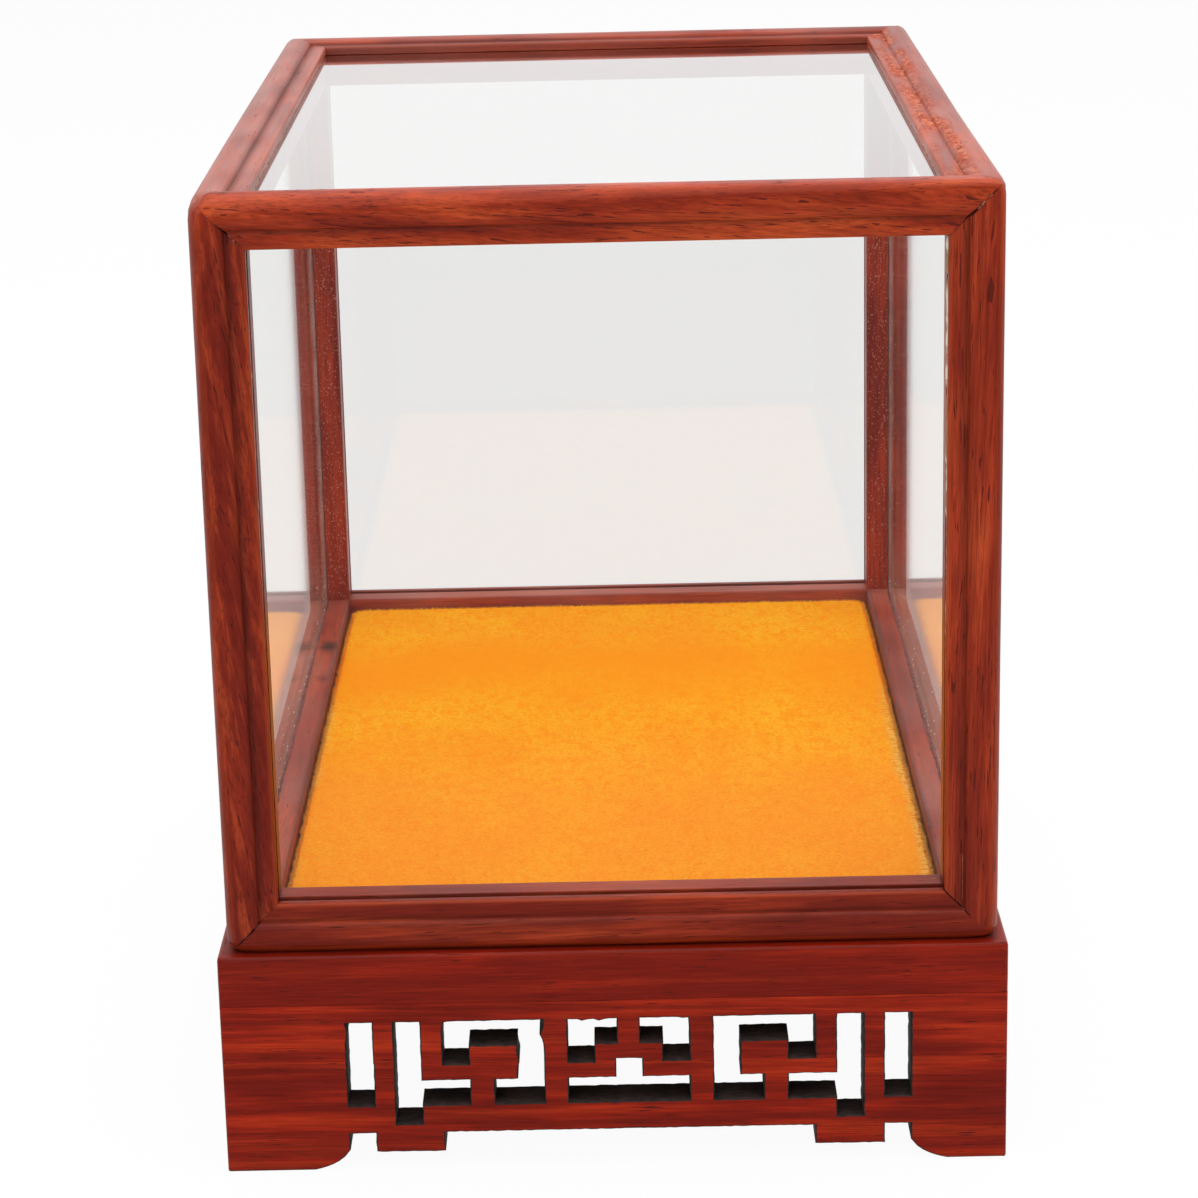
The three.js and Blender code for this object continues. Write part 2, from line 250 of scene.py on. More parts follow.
# %% The noises of the grain
def grain_noises(tree, band, run, pore_level):
    """Band and run stretch the bands across and along. A higher pore level means fewer pores."""
    grain = attribute(tree, "grain", "Vector")
    drift = cloudy(tree, grain, (0.13, 0.13, 0.022), detail=3.0)
    drift = plus(tree, between(tree, drift, 0.33, 0.67), attribute(tree, "tone"))
    bands = cloudy(tree, grain, (band, band, run), detail=4.0, roughness=0.5, shift=(7, 3, 1))
    threads = cloudy(tree, grain, (2.4, 2.4, 0.07), detail=3.0, roughness=0.6, shift=(2, 9, 4))
    hairs = cloudy(tree, grain, (4.6, 4.6, 0.05), detail=2.0, roughness=0.6, shift=(6, 2, 5))
    pores = cloudy(tree, grain, (2.3, 2.3, 0.15), detail=1.5, roughness=0.5, shift=(5, 1, 8))
    crowd = cloudy(tree, grain, (0.30, 0.30, 0.05), detail=2.0, shift=(1, 6, 2))
    level = between(tree, crowd, 0.35, 0.65, pore_level + 0.05, pore_level - 0.03)
    level = plus(tree, level, times(tree, attribute(tree, "sparse"), 0.07))
    pores = between(tree, maths(tree, "SUBTRACT", pores, level), 0.0, 0.04)
    return drift, bands, threads, hairs, pores


# %% [markdown]
# ## The colour of the wood
# The tints are laid over each other from the broad to the fine: the ground colour, light and
# dark bands, threads, hairs and pores. A colour ramp on one noise could not keep these apart.
# The bands are fainter on a quiet piece. Worn edges show lighter wood, and the lip beside the glass is
# lightened as well, partly wear and partly painted highlight.

# %% The colour of clean wood
BOLD = 0.5  # how strongly the bands show


def clean_wood(tree, noises, tints):
    drift, bands, threads, hairs, pores = noises
    body = mixed(tree, between(tree, drift, 0.0, 1.0), tints["dark"], tints["middle"])
    body = mixed(tree, between(tree, drift, 0.8, 1.8), body, tints["light"])
    figure = between(tree, attribute(tree, "quiet"), 0.0, 1.0, BOLD, 0.35 * BOLD)
    glow = times(tree, between(tree, bands, 0.48, 0.36), times(tree, figure, 0.6))
    body = mixed(tree, glow, body, tints["light"])
    streaks = times(tree, between(tree, bands, 0.45, 0.62), figure)
    body = mixed(tree, streaks, body, tints["streak"])
    lift = between(tree, threads, 0.3, 0.7, 0.79, 1.15)
    lifted = add(tree, "ShaderNodeCombineColor", {0: lift, 1: lift, 2: lift}).outputs[0]
    body = mixed(tree, 1.0, body, lifted, "MULTIPLY")
    body = mixed(tree, between(tree, hairs, 0.52, 0.63, 0.0, 0.5), body, tints["streak"])
    body = mixed(tree, times(tree, pores, 0.85), body, tints["pore"])
    # Lighter wood at worn edges, and a painted highlight on the lip beside the glass.
    return mixed(tree, times(tree, attribute(tree, "wear_and_highlight"), 0.35), body, tints["light"])


# %% [markdown]
# ## Age, and light and shade painted on the wood
# One rail has torn grain, rough and orange with dark and pale strokes in it. Dust lies on the
# back posts in specks. A pale pinkish film on some of the rails is a painted sheen, where the
# polish would catch the light at a flat angle. The darkest tint holds dark open joints and knots,
# and painted shade in the valleys, the grooves and on some shoulders, strips and arrises. Each of
# these is a number stored on the mesh, and a mesh without it reads as 0, so that one recipe
# serves every piece and no mask has to be painted.

# %% Torn grain, dust, painted sheen and painted shade
def aged(tree, body, ragged):
    torn = attribute(tree, "torn")
    body = mixed(tree, times(tree, torn, 0.6), body, colour(172, 76, 40))
    for centre, strength, stroke in ((0.44, 0.75, (104, 32, 14)), (0.54, 0.45, (222, 150, 118))):
        off_line = maths(tree, "ABSOLUTE", maths(tree, "SUBTRACT", ragged, centre))
        drawn = times(tree, between(tree, off_line, 0.040, 0.014, 0.0, strength), torn)
        body = mixed(tree, drawn, body, colour(*stroke))
    grain = attribute(tree, "grain", "Vector")
    flecks = cloudy(tree, grain, (2.6, 2.6, 1.9), detail=1.0, shift=(9, 2, 6))
    flecks = times(tree, between(tree, flecks, 0.62, 0.70), attribute(tree, "dust"))
    body = mixed(tree, flecks, body, colour(190, 136, 124))
    # Painted sheen: a pale pinkish tint where the polish would catch the light at a flat angle.
    body = mixed(tree, attribute(tree, "film_and_sheen"), body, colour(182, 134, 122))
    # The darkest tint: dark open joints and knots, and painted shade in valleys, grooves and on some
    # shoulders, strips and arrises.
    return mixed(tree, attribute(tree, "dark_marks_and_shade"), body, colour(44, 12, 7))


# %% [markdown]
# ## The two rosewoods
# The polish is a soft satin. Pores and torn grain scatter the light more, so they add to the
# roughness, and so does the darkest tint of dark marks and painted shade. The pores are sunk a
# little. The base is a redder timber than the cover.

# %% Rosewood finish
def rosewood(name, band, run, pore_level, **tints):
    def build(tree):
        noises = grain_noises(tree, band, run, pore_level)
        threads, pores = noises[2], noises[4]
        grain, torn = attribute(tree, "grain", "Vector"), attribute(tree, "torn")
        ragged = cloudy(tree, grain, (0.38, 0.38, 0.26), detail=2.5, roughness=0.65, shift=(3, 3, 3))
        body = aged(tree, clean_wood(tree, noises, tints), ragged)
        rough = between(tree, threads, 0.2, 0.8, 0.31, 0.41)
        for part, amount in ((pores, 0.20), (torn, 0.25), (attribute(tree, "dark_marks_and_shade"), 0.3)):
            rough = plus(tree, rough, times(tree, part, amount))
        relief = maths(tree, "SUBTRACT", times(tree, threads, 0.35), pores)
        relief = plus(tree, relief, times(tree, times(tree, torn, 0.7), ragged))
        return surface(tree, body, rough, relief, 0.35, 0.00012, {"Specular IOR Level": 0.15})

    return finish(name, build)


cover_wood = rosewood(
    "cover_rosewood",
    band=0.42,
    run=0.016,
    pore_level=0.64,
    dark=colour(118, 31, 15),
    middle=colour(154, 49, 21),
    light=colour(190, 78, 34),
    pore=colour(82, 18, 9),
    streak=colour(102, 23, 11),
)
base_wood = rosewood(
    "base_rosewood",
    band=0.40,
    run=0.011,
    pore_level=0.66,
    dark=colour(124, 22, 4),
    middle=colour(152, 30, 5),
    light=colour(192, 58, 12),
    pore=colour(76, 13, 5),
    streak=colour(92, 14, 5),
)

# %% [markdown]
# ## Sawn edges, inner boards and small faults
# The walls of the sawn slots are given a near-black finish that is never polished. The boards
# inside are plain pale timber that nobody sees. Glue, the bedding of the panes and the filler
# are dull, slightly rough and uneven in colour. Each gets a quiet finish of its own, because a
# slot with polished red walls looks printed on.

# %% Quiet finishes
def sawn(tree):
    wall_mottle = cloudy(tree, attribute(tree, "grain", "Vector"), (0.9, 0.9, 0.5), detail=4.0)
    body = mixed(tree, between(tree, wall_mottle, 0.35, 0.65), colour(22, 12, 10), colour(50, 30, 25))
    return surface(tree, body, 0.8, wall_mottle, 0.5, 0.0002)


def inner_timber(tree):
    year_rings = cloudy(tree, object_place(tree), (60, 900, 900), detail=4.0)
    drift = cloudy(tree, object_place(tree), (12, 60, 60), detail=2.0)
    body = mixed(tree, between(tree, drift, 0.3, 0.7), colour(150, 112, 76), colour(176, 138, 98))
    body = layered(tree, body, [(year_rings, 0.45, 0.7, 0.6, (118, 82, 54))])
    return surface(tree, body, 0.75, year_rings, 0.4, 0.0002)


def hard_glue(pale, brown):
    """Old glue or filler that has set hard, uneven in colour along its length."""
    def build(tree):
        patch = cloudy(tree, object_place(tree), (260, 260, 260), detail=3.0)
        body = mixed(tree, between(tree, patch, 0.4, 0.6), colour(*pale), colour(*brown))
        return surface(tree, body, 0.6, patch, 0.5, 0.0001)

    return build


sawn_wood = finish("sawn_edge", sawn)
inner_wood = finish("inner_timber", inner_timber)
GLUES = {
    "pale_glue": ((234, 224, 204), (168, 128, 88)),
    "brown_glue": ((176, 132, 104), (126, 70, 48)),
    "groove_bedding": ((130, 54, 38), (108, 40, 26)),
    "joint_filler": ((158, 98, 78), (84, 38, 26)),
}
glues = {name: finish(name, hard_glue(*tones)) for name, tones in GLUES.items()}

# %% [markdown]
# ## Glass
# The panes are 2 mm sheet glass. A pane lets light through unbent, so it can be a see-through
# shader with a mirror on top, mixed by the Fresnel law. Both faces of a pane mirror, so the
# share is worked out for the pair and used on the face that looks outwards only. That gives no
# noise. A film on the top pane makes its mirror stronger at a flat angle, which hides the back
# rail in the picture. The side panes are hazy along their foot and far edge, where nobody wipes.

# %% Glass finish
def sheet_glass(tree, rough=0.03, film_and_sheen=0.0):
    """Clear glass. A film makes its mirror stronger at a flat angle, and a little greyer."""
    facing = add(tree, "ShaderNodeFresnel", {"IOR": 1.5}).outputs[0]
    pair = maths(tree, "DIVIDE", times(tree, facing, 2.0), plus(tree, facing, 1.0))
    inside = add(tree, "ShaderNodeNewGeometry").outputs["Backfacing"]
    flat = add(tree, "ShaderNodeLayerWeight", {"Blend": 0.5}).outputs["Facing"]
    settled = between(tree, flat, 0.74, 0.86, 0.0, film_and_sheen)
    pair = plus(tree, pair, times(tree, settled, maths(tree, "SUBTRACT", 1.0, pair)))
    share = times(tree, pair, maths(tree, "SUBTRACT", 1.0, inside))
    clear = add(tree, "ShaderNodeBsdfTransparent", {"Color": (0.978, 0.977, 0.973, 1.0)})
    grey = 1 - 0.16 * film_and_sheen
    mirror = add(tree, "ShaderNodeBsdfGlossy", {"Color": (grey, grey, grey, 1.0), "Roughness": rough})
    return two_shaders(tree, share, clear.outputs[0], mirror.outputs[0])


def dusty_glass(tree):
    place = object_place(tree)
    parts = add(tree, "ShaderNodeSeparateXYZ", {0: place}).outputs
    smears = between(tree, cloudy(tree, place, (60, 60, 200), detail=3.0), 0.3, 0.65, 0.5, 1.0)
    foot = between(tree, parts["Z"], 0.086, 0.060, 0.0, 0.16)
    far_edge = between(tree, parts["Y"], 0.086, 0.100, 0.0, 0.24)
    share = times(tree, smears, maths(tree, "MAXIMUM", foot, far_edge))
    dust = add(tree, "ShaderNodeBsdfDiffuse", {"Color": (0.9, 0.86, 0.84, 1.0)})
    return two_shaders(tree, share, sheet_glass(tree, 0.08), dust.outputs[0])


pane_glass = finish("sheet_glass", sheet_glass)
top_glass = finish("filmed_sheet_glass", lambda tree: sheet_glass(tree, film_and_sheen=0.45))
side_glass = finish("dusty_sheet_glass", dusty_glass)

# %% [markdown]
# ## Plush
# Plush is a woven cloth with a dense cut pile. The tips catch the light, painted as a paler tint,
# and the roots are painted deeper and more orange as shade. A hand brushed over it leaves patches
# that lean one way or the other. This one is trodden to a deeper yellow in a band across the
# middle, and bleached along its left and right edges, with a dull olive painted shade among the
# bleached fibres. Noises of different sizes carry the tints, and numbers stored on the mesh say
# where the tips and the bleached and shaded pile are. One noise alone would look like a flat print.

# %% Plush finish
def yellow_pile(tree):
    place = object_place(tree)
    tip, fade_and_shade = attribute(tree, "tip"), attribute(tree, "fade_and_shade")
    tufts = cloudy(tree, place, (1100, 1100, 1100), detail=4.0, roughness=0.75)
    blotches = cloudy(tree, place, (420, 260, 260), detail=3.0, shift=(2, 4, 0))
    brushed = cloudy(tree, place, (34, 20, 20), detail=3.0)
    fringe = cloudy(tree, place, (700, 1500, 900), detail=2.0)
    fine = cloudy(tree, place, (1500, 1500, 1500), detail=3.0, roughness=0.8, shift=(8, 1, 3))
    wander = between(tree, cloudy(tree, place, (16, 16, 16)), 0.3, 0.7, -0.008, 0.008)
    along = plus(tree, add(tree, "ShaderNodeSeparateXYZ", {0: place}).outputs["Y"], wander)

    body = mixed(tree, between(tree, tufts, 0.38, 0.62), colour(255, 146, 2), colour(255, 188, 16))
    # Among these layers, the light tip tint is a painted highlight, and the dark root tint is painted shade.
    body = layered(tree, body, [
        (blotches, 0.4, 0.6, 0.35, (255, 186, 40)),
        (blotches, 0.5, 0.36, 0.35, (255, 136, 0)),
        (brushed, 0.35, 0.65, 0.45, (255, 144, 8)),
        (along, 0.02, -0.06, 0.45, (255, 146, 50)),
        (tip, 0.5, 1.0, 0.8, (255, 200, 88)),
        (tip, 0.5, 0.0, 0.8, (196, 112, 8)),
    ])
    bleached = times(tree, fade_and_shade, between(tree, fringe, 0.40, 0.56, 0.15, 1.0))
    body = mixed(tree, bleached, body, colour(236, 198, 104))
    # Painted shade: a dull olive among the bleached pile, between its fibres.
    shaded = times(tree, fade_and_shade, between(tree, fringe, 0.47, 0.38, 0.0, 0.6))
    body = mixed(tree, shaded, body, colour(150, 104, 30))
    body = layered(tree, body, [
        (fine, 0.50, 0.34, 0.4, (234, 116, 0)),
        (fine, 0.56, 0.70, 0.5, (255, 200, 76)),
    ])
    trodden = times(tree, between(tree, along, 0.088, 0.052), between(tree, along, 0.008, 0.040))
    trodden = times(tree, trodden, between(tree, brushed, 0.3, 0.65, 0.55, 0.85))
    body = mixed(tree, trodden, body, colour(255, 150, 0))
    soft = {"Specular IOR Level": 0.02, "Sheen Weight": 0.03, "Sheen Roughness": 0.45}
    soft["Sheen Tint"] = colour(255, 190, 80)
    return surface(tree, body, 0.95, tufts, 0.8, 0.0005, soft)


plush_pile = finish("yellow_plush", yellow_pile)

# %% [markdown]
# ## Writing a piece
# Every wooden piece is written the same way: points in millimetres, faces, and for each point
# where it lies in the grain, how much it is lightened by wear and painted highlight, and how much
# it is darkened by dark marks and painted shade.
# Smooth shading with sharp edges by angle keeps rounds round and arrises crisp.

# %% Helper that writes a piece
def write_piece(name, points, faces, body, stands_for, finishes, values, which=None):
    mesh = bpy.data.meshes.new(name)
    mesh.from_pydata([Vector(p) * MM for p in points], [], faces)
    for label, numbers in values.items():
        numbers = np.asarray(numbers, dtype=np.float32)
        kind = "FLOAT_VECTOR" if numbers.ndim == 2 else "FLOAT"
        layer = mesh.attributes.new(label, kind, "POINT")
        layer.data.foreach_set("vector" if numbers.ndim == 2 else "value", numbers.ravel())
    for one in finishes:
        mesh.materials.append(one)
    if which is not None:
        mesh.polygons.foreach_set("material_index", which)
    edit = bmesh.new()
    edit.from_mesh(mesh)
    bmesh.ops.recalc_face_normals(edit, faces=edit.faces)
    edit.to_mesh(mesh)
    edit.free()
    mesh.shade_smooth()
    mesh.set_sharp_from_angle(angle=math.radians(32))
    piece = bpy.data.objects.new(name, mesh)
    bpy.context.collection.objects.link(piece)
    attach(piece, body)
    if stands_for:
        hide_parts(*stands_for)
    return piece


# %% [markdown]
# ## The moulded bar
# All twelve edges of the cover are the same moulding. From each outer face it has a rounded
# outer bead, a sharp quirk, a flat strip set a little lower, an eased lip beside the glass, the
# groove that holds the glass, and a ledge inside. The section is drawn once, as distances in
# from the two outer faces, and is the same from both, so half of it is enough.

# %% The bar's section
def arc(centre, radii, start, end, steps):
    angles = [math.radians(start + (end - start) * i / steps) for i in range(steps + 1)]
    return [(centre[0] + radii[0] * math.cos(a), centre[1] + radii[1] * math.sin(a)) for a in angles]


def half_profile():
    near, far, floor = GROOVE
    ease = 0.12
    points = arc((BAR_ROUND, BAR_ROUND), (BAR_ROUND, BAR_ROUND), 225, 180, 8)
    points += arc((STRIP_DROP, BEAD_WIDTH - BEAD_TURN), (STRIP_DROP, BEAD_TURN), 180, 98, 8)
    for share, depth in ((0.08, 0.75), (0.2, 1.0), (0.35, 0.8), (0.6, 0.35), (1.0, 0.0)):
        points.append((STRIP_DROP + depth * VALLEY_DEPTH, BEAD_WIDTH + share * VALLEY_WIDTH))
    points += arc((STRIP_DROP + LIP_EASE, BAR_REACH - LIP_EASE), (LIP_EASE, LIP_EASE), 180, 90, 5)
    points += [(near - ease, BAR_REACH), (near, BAR_REACH - ease), (near, floor)]
    points += [(far, floor), (far, BAR_REACH - ease), (far + ease, BAR_REACH)]
    points += arc((BAR_REACH - LEDGE_EASE, BAR_REACH - LEDGE_EASE), (LEDGE_EASE, LEDGE_EASE), 90, 45, 3)
    return points


def closer(points, step):
    """The same line with points added, so that no two are further apart than step."""
    filled = [points[0]]
    for (u0, v0), (u1, v1) in zip(points, points[1:]):
        parts = max(1, math.ceil(math.hypot(u1 - u0, v1 - v0) / step))
        filled += [(u0 + (u1 - u0) * i / parts, v0 + (v1 - v0) * i / parts) for i in range(1, parts + 1)]
    return filled


first_half = closer(half_profile(), 0.75)
second_half = [(v, u) for u, v in reversed(first_half[1:-1])]
section = np.array(first_half + second_half)
halves = len(first_half)
print("section of", len(section), "points,", halves, "in each half")

# %% [markdown]
# ## Mitres
# Where three bars meet, each end is cut at 45 degrees from both outer faces. A point of the
# section that lies a distance in from a face starts that same distance from the corner, plus
# half of the joint. Most joints are tight. Hand-cut ones are never quite alike, so the width of
# each joint varies along its length. The front one at the top right gapes a little and its line
# is crooked.

# %% How wide each joint is
OPEN_JOINTS = {  # half of the joint at some distances from the corner
    ((1, -1, 1), 1): (
        (0, 0.02), (1.7, 0.03), (2.4, 0.42), (3.1, 0.30), (3.8, 0.05), (4.6, 0.14), (5.6, 0.20),
        (6.5, 0.44), (7.2, 0.26), (8.2, 0.05), (11.2, 0.04),
    ),
    ((1, -1, -1), 1): ((0, 0.006), (5.5, 0.01), (6.5, 0.13), (9, 0.12), (11.2, 0.12)),
    ((-1, -1, -1), 1): (
        (0, 0.006), (2.5, 0.03), (3.4, 0.18), (4.4, 0.10), (5.4, 0.20), (6.8, 0.15), (8, 0.03),
        (11.2, 0.02),
    ),
    ((-1, -1, 1), 1): ((0, 0.006), (5.8, 0.02), (6.5, 0.12), (7.4, 0.18), (8.3, 0.05), (11.2, 0.02)),
    ((1, -1, 1), 2): ((0, 0.02), (6, 0.012), (11.2, 0.012)),
}
TIGHT = ((0, 0.008), (11.2, 0.008))
STRAY = 0.05  # how far the line of a joint strays
CROOKED = {((1, -1, 1), 1): 0.30}


def half_joint(corner, face, distance):
    known = OPEN_JOINTS.get((corner, face), TIGHT)
    wide = float(np.interp(distance, *zip(*known)))
    at = Vector((distance * 1.3, corner[0] * 3.1 + corner[1] * 5.7 + corner[2] * 9.2, face * 4.3))
    return wide * (1 + 0.7 * noise.noise(at))


def wander(corner, face, distance, along_axis):
    """Moves both sides of a joint together, so that its line isn't quite straight."""
    at = Vector((distance * 0.45 + 40, corner[0] * 2.2 + corner[1] * 6.1 + corner[2] * 3.3, face * 8.1))
    others = [axis for axis in range(3) if axis != face]
    stray = CROOKED.get((corner, face), STRAY) * noise.noise(at)
    return stray if along_axis == others[0] else -stray


print("joints that aren't tight", len(OPEN_JOINTS))

# %% [markdown]
# ## Corners
# The maker sanded each corner by hand. One at the front was rounded well over, and the one
# across from it was hardly touched, so both the rounding along the edges and the easing of the
# corner itself are set for each corner and fade away along the bars.

# %% Sand the eight corners
COVER_MIDDLE = Vector((0, 0, (COVER_FOOT - PLANED + COVER_TOP) / 2))
COVER_HALF = Vector((COVER.x, COVER.y, COVER.z + PLANED)) / 2
USUAL_SANDING = (3.2, 0.5)  # the ball that the corner is eased to, and how much of the way
SANDING = {
    (-1, -1, 1): (5.6, 1.0),
    (1, -1, 1): (3.4, 0.6),
    (1, -1, -1): (4.2, 0.9),
    (-1, -1, -1): (4.2, 0.9),
}
EDGE_ROUNDS = {(-1, -1, 1): 4.0, (1, -1, 1): 1.9}  # the edges' radius where it isn't the usual one
FADE = 95.0


def sanded(point):
    """Eases a point that lies near one of the cover's corners, where three rounds meet."""
    from_middle = point - COVER_MIDDLE
    corner = tuple(int(math.copysign(1, c)) for c in from_middle)
    ball, strength = SANDING.get(corner, USUAL_SANDING)
    over = [abs(from_middle[i]) - COVER_HALF[i] + ball for i in range(3)]
    reach = math.sqrt(sum(o * o for o in over))
    if min(over) <= 0 or reach <= ball:
        return point
    strength *= min(1.0, min(over) / (0.6 * ball))
    share = 1 - strength * (reach - ball) / reach
    moved = [COVER_HALF[i] - ball + over[i] * share for i in range(3)]
    return COVER_MIDDLE + Vector([math.copysign(moved[i], from_middle[i]) for i in range(3)])


def fullness(corner, away):
    """The size of the edge's round at a distance from a corner, against its usual size."""
    radius = EDGE_ROUNDS.get(corner, BAR_ROUND)
    return 1 + (radius / BAR_ROUND - 1) * max(0.0, 1 - away / FADE)


print("corners sanded in their own way", len(SANDING))

# %% [markdown]
# ## The ends of a bar
# Each point of the section ends where the joint lies for it. The rows of points stand close
# together near the ends, where the shape changes, and further apart between. An even spacing
# would need many more points for the same joints.

# %% The rows of a bar
END_STEPS = [0.0, 0.12, 0.35, 0.8, 1.6]
in_round = section.max(axis=1) < BAR_ROUND + 1e-6
print("points of the section in its round", int(in_round.sum()))


def axis_of(direction):
    return max(range(3), key=lambda i: abs(direction[i]))


def cut_ends(corners, faces_of_bar, line):
    """Where the cut lies, and how open the joint is, at both ends of each line along the bar."""
    ends, open_by = np.zeros((2, len(section))), np.zeros((2, len(section)))
    for i, (u, v) in enumerate(section):
        face = faces_of_bar[0] if i < halves else faces_of_bar[1]
        for k, corner in enumerate(corners):
            reach = max(u, v) * (fullness(corner, 0.0) if in_round[i] else 1.0)
            open_by[k, i] = half_joint(corner, face, reach)
            ends[k, i] = reach + open_by[k, i] + wander(corner, face, reach, line)
    return ends, open_by


def bar_rows(length):
    steps = max(4, int((length - 30) / 3.6))
    rows = [("start", d) for d in END_STEPS] + [("between", k / steps) for k in range(1, steps)]
    return rows + [("end", d) for d in reversed(END_STEPS)]


def along_bar(row, first, last):
    """How far along the bar a row lies on a line that runs from first to last."""
    kind, amount = row
    if kind == "start":
        return first + amount
    if kind == "end":
        return last - amount
    return (first + END_STEPS[-1]) * (1 - amount) + (last - END_STEPS[-1]) * amount


# %% [markdown]
# ## Planed by hand
# A moulding planed by hand is a little uneven. Its flats waver by a few hundredths of a
# millimetre and the line beside the bead strays, which shows in the gloss. A bump map could
# shade this, but it would be missing from the edge of the bar and from the mesh file.

# %% An uneven section
def hand_planed(i, s, number, full):
    """Point i of the section at s along the bar. Full says how far its round is drawn out."""
    u, v = section[i]
    near, far = min(u, v), max(u, v)
    unevenness = noise.noise(Vector((far * 0.16, s * 0.022, number * 3.7 + (i < halves) * 11)))
    push = 0.05 * (1 + unevenness) if near < STRIP_DROP + 0.05 and far < BAR_REACH - 0.1 else 0.0
    slide = 0.10 * noise.noise(Vector((s * 0.035, number * 5.1, (i < halves) * 7.0)))
    slide *= max(0.0, 1 - abs(far - BEAD_WIDTH) / 1.6)
    if i < halves:
        return u * full + push, v * full + slide
    return u * full + slide, v * full + push


def bar_grain(i, s, number, slope):
    """The grain runs at a slope of its own and bends slowly, and each bar has its own part of it."""
    bend = 1.2 * noise.noise(Vector((s * 0.012, number * 1.9, 3.0)))
    slope_a, slope_b = slope + 0.02 * math.sin(number * 2.3), slope + 0.02 * math.cos(number * 1.7)
    u, v = section[i]
    own_part = Vector((number * 13.7, number * 29.3, number * 57.1))
    return Vector((u + slope_a * s + bend, v + slope_b * s + bend, s)) + own_part


# %% [markdown]
# ## Marks of use, painted shade and painted highlight
# Open joints are dark. The valley beside the bead and the groove are darkened as painted shade,
# and so are the shoulder of the bottom front rail, the strip of the back top rail and the inner
# arrises of the other bottom rails, where they would catch the light. The lip beside the glass is
# lightened, partly rubbed wear and partly painted highlight. Two dark knots show on the left
# bottom rail, and the grain of the right top rail is torn. These marks belong to places of the
# section and of the case, so they are worked out for each point and stored there, and the finish
# only reads them.

# %% Where a bar is dark, worn, dusty or painted with shade and highlight
KNOTS = [(Vector((-71.4, 63.6, 58.9)), 3.4, 1.0), (Vector((-71.2, 37.8, 58.9)), 1.8, 0.6)]
TORN_LINE, TORN_WIDE = 72.3, 3.8  # the middle of the torn grain in x, and its reach


def torn_along_rail(where):
    across = max(0.0, 1 - ((where.x - TORN_LINE) / TORN_WIDE) ** 2)
    patchy = 0.75 + 2.0 * noise.noise(Vector((where.x * 0.3, where.y * 0.06, 4.0)))
    return min(1.0, max(0.0, across * patchy)) * (where.z > COVER_TOP - 3)


def darkness(near, far, where, plank, torn, at_end):
    valley, valley_wide = plank.get("valley", (0.35, 0.9))
    # Painted shade: the valley, the groove, and the shoulder, strip and arris where a plank asks for it.
    # Open joints and knots are real dark marks.
    in_valley = valley * max(0.0, 1 - math.hypot((near - 1.35) * 0.8, far - 7.4) / valley_wide)
    in_groove = GROOVE[0] - 0.05 < near < GROOVE[1] + 0.05 and 8 < far < 10.9
    on_shoulder = plank.get("shoulder", 0.0) * max(0.0, 1 - abs(far - 6.4) / 1.6) * (near < 1.3)
    on_strip = plank.get("strip", 0.0) * (BEAD_WIDTH < far) * (near < GROOVE[0])
    on_arris = plank.get("arris", 0.0) * max(0.0, near - BAR_REACH + 1)
    dark = max(in_valley * (1 - torn), at_end, 0.5 * in_groove, on_shoulder, on_strip, on_arris)
    for place, size, strength in KNOTS:
        off = where - place
        reach = math.hypot(off.x, off.y / 1.8, off.z)
        dark = max(dark, strength * (1 - min(1.0, reach / size) ** 2))
    return min(1.0, dark)


def bar_marks(i, s, number, where, plank, at_end):
    near, far = min(section[i]), max(section[i])
    inner = near > GROOVE[1] - 0.1
    lip = max(0.0, 1 - math.hypot(near - 1.45, far - 10.95) / 0.7)
    torn = plank["torn"](where) if "torn" in plank else 0.0
    quiet = 0.9 if inner else plank.get("quiet", 0.0)
    mottled = 0.6 + 0.7 * noise.noise(Vector((far * 0.2, s * 0.05, number * 2.7)))
    return {
        "grain": bar_grain(i, s, number, plank.get("slope", 0.0)),
        # The lip's lightening is partly wear and partly painted highlight.
        "wear_and_highlight": min(1.0, lip + (0.35 if far < 2.2 else 0.0)),
        # The darkest tint: dark joints and knots, and painted shade.
        "dark_marks_and_shade": darkness(near, far, where, plank, torn, at_end),
        "torn": torn,
        "dust": plank.get("dust", 0.0) * inner,
        # The inside of a bottom rail is lightened through its tone: painted light.
        "tone": plank.get("tone", 0.0) + plank.get("inner_painted_light", 0.0) * inner,
        "quiet": quiet,
        "sparse": plank.get("sparse", quiet),
        # The film value is a painted sheen.
        "film_and_sheen": plank.get("film_and_sheen", 0.0) * mottled * (1 - torn),
    }


# %% [markdown]
# ## One moulded bar
# The rows of the section are joined into a tube and closed at both ends. Each end is two flat
# faces, one for each half of the section, because a mitre between three bars is cut twice. In
# the rails whose pane was bedded in glue, the groove's walls get the finish of that bedding.

# %% One moulded bar
def rings(rows, count):
    """The side faces of a closed section repeated along rows."""
    faces = []
    for r in range(rows - 1):
        for i in range(count):
            j = (i + 1) % count
            faces.append((r * count + i, r * count + j, (r + 1) * count + j, (r + 1) * count + i))
    return faces


def bar_faces(row_count, bedded):
    count = len(section)
    nearest = [min(*section[i], *section[(i + 1) % count]) for i in range(count)]
    walls = [GROOVE[0] - 0.01 < distance < GROOVE[1] + 0.01 for distance in nearest]
    faces = rings(row_count, count)
    kinds = [int(bedded and walls[i % count]) for i in range(len(faces))]
    last_row = (row_count - 1) * count
    for ring in (list(range(halves)), [halves - 1, *range(halves, count), 0]):
        faces.append(tuple(reversed(ring)))
        faces.append(tuple(last_row + i for i in ring))
        kinds += [0, 0]
    return faces, kinds


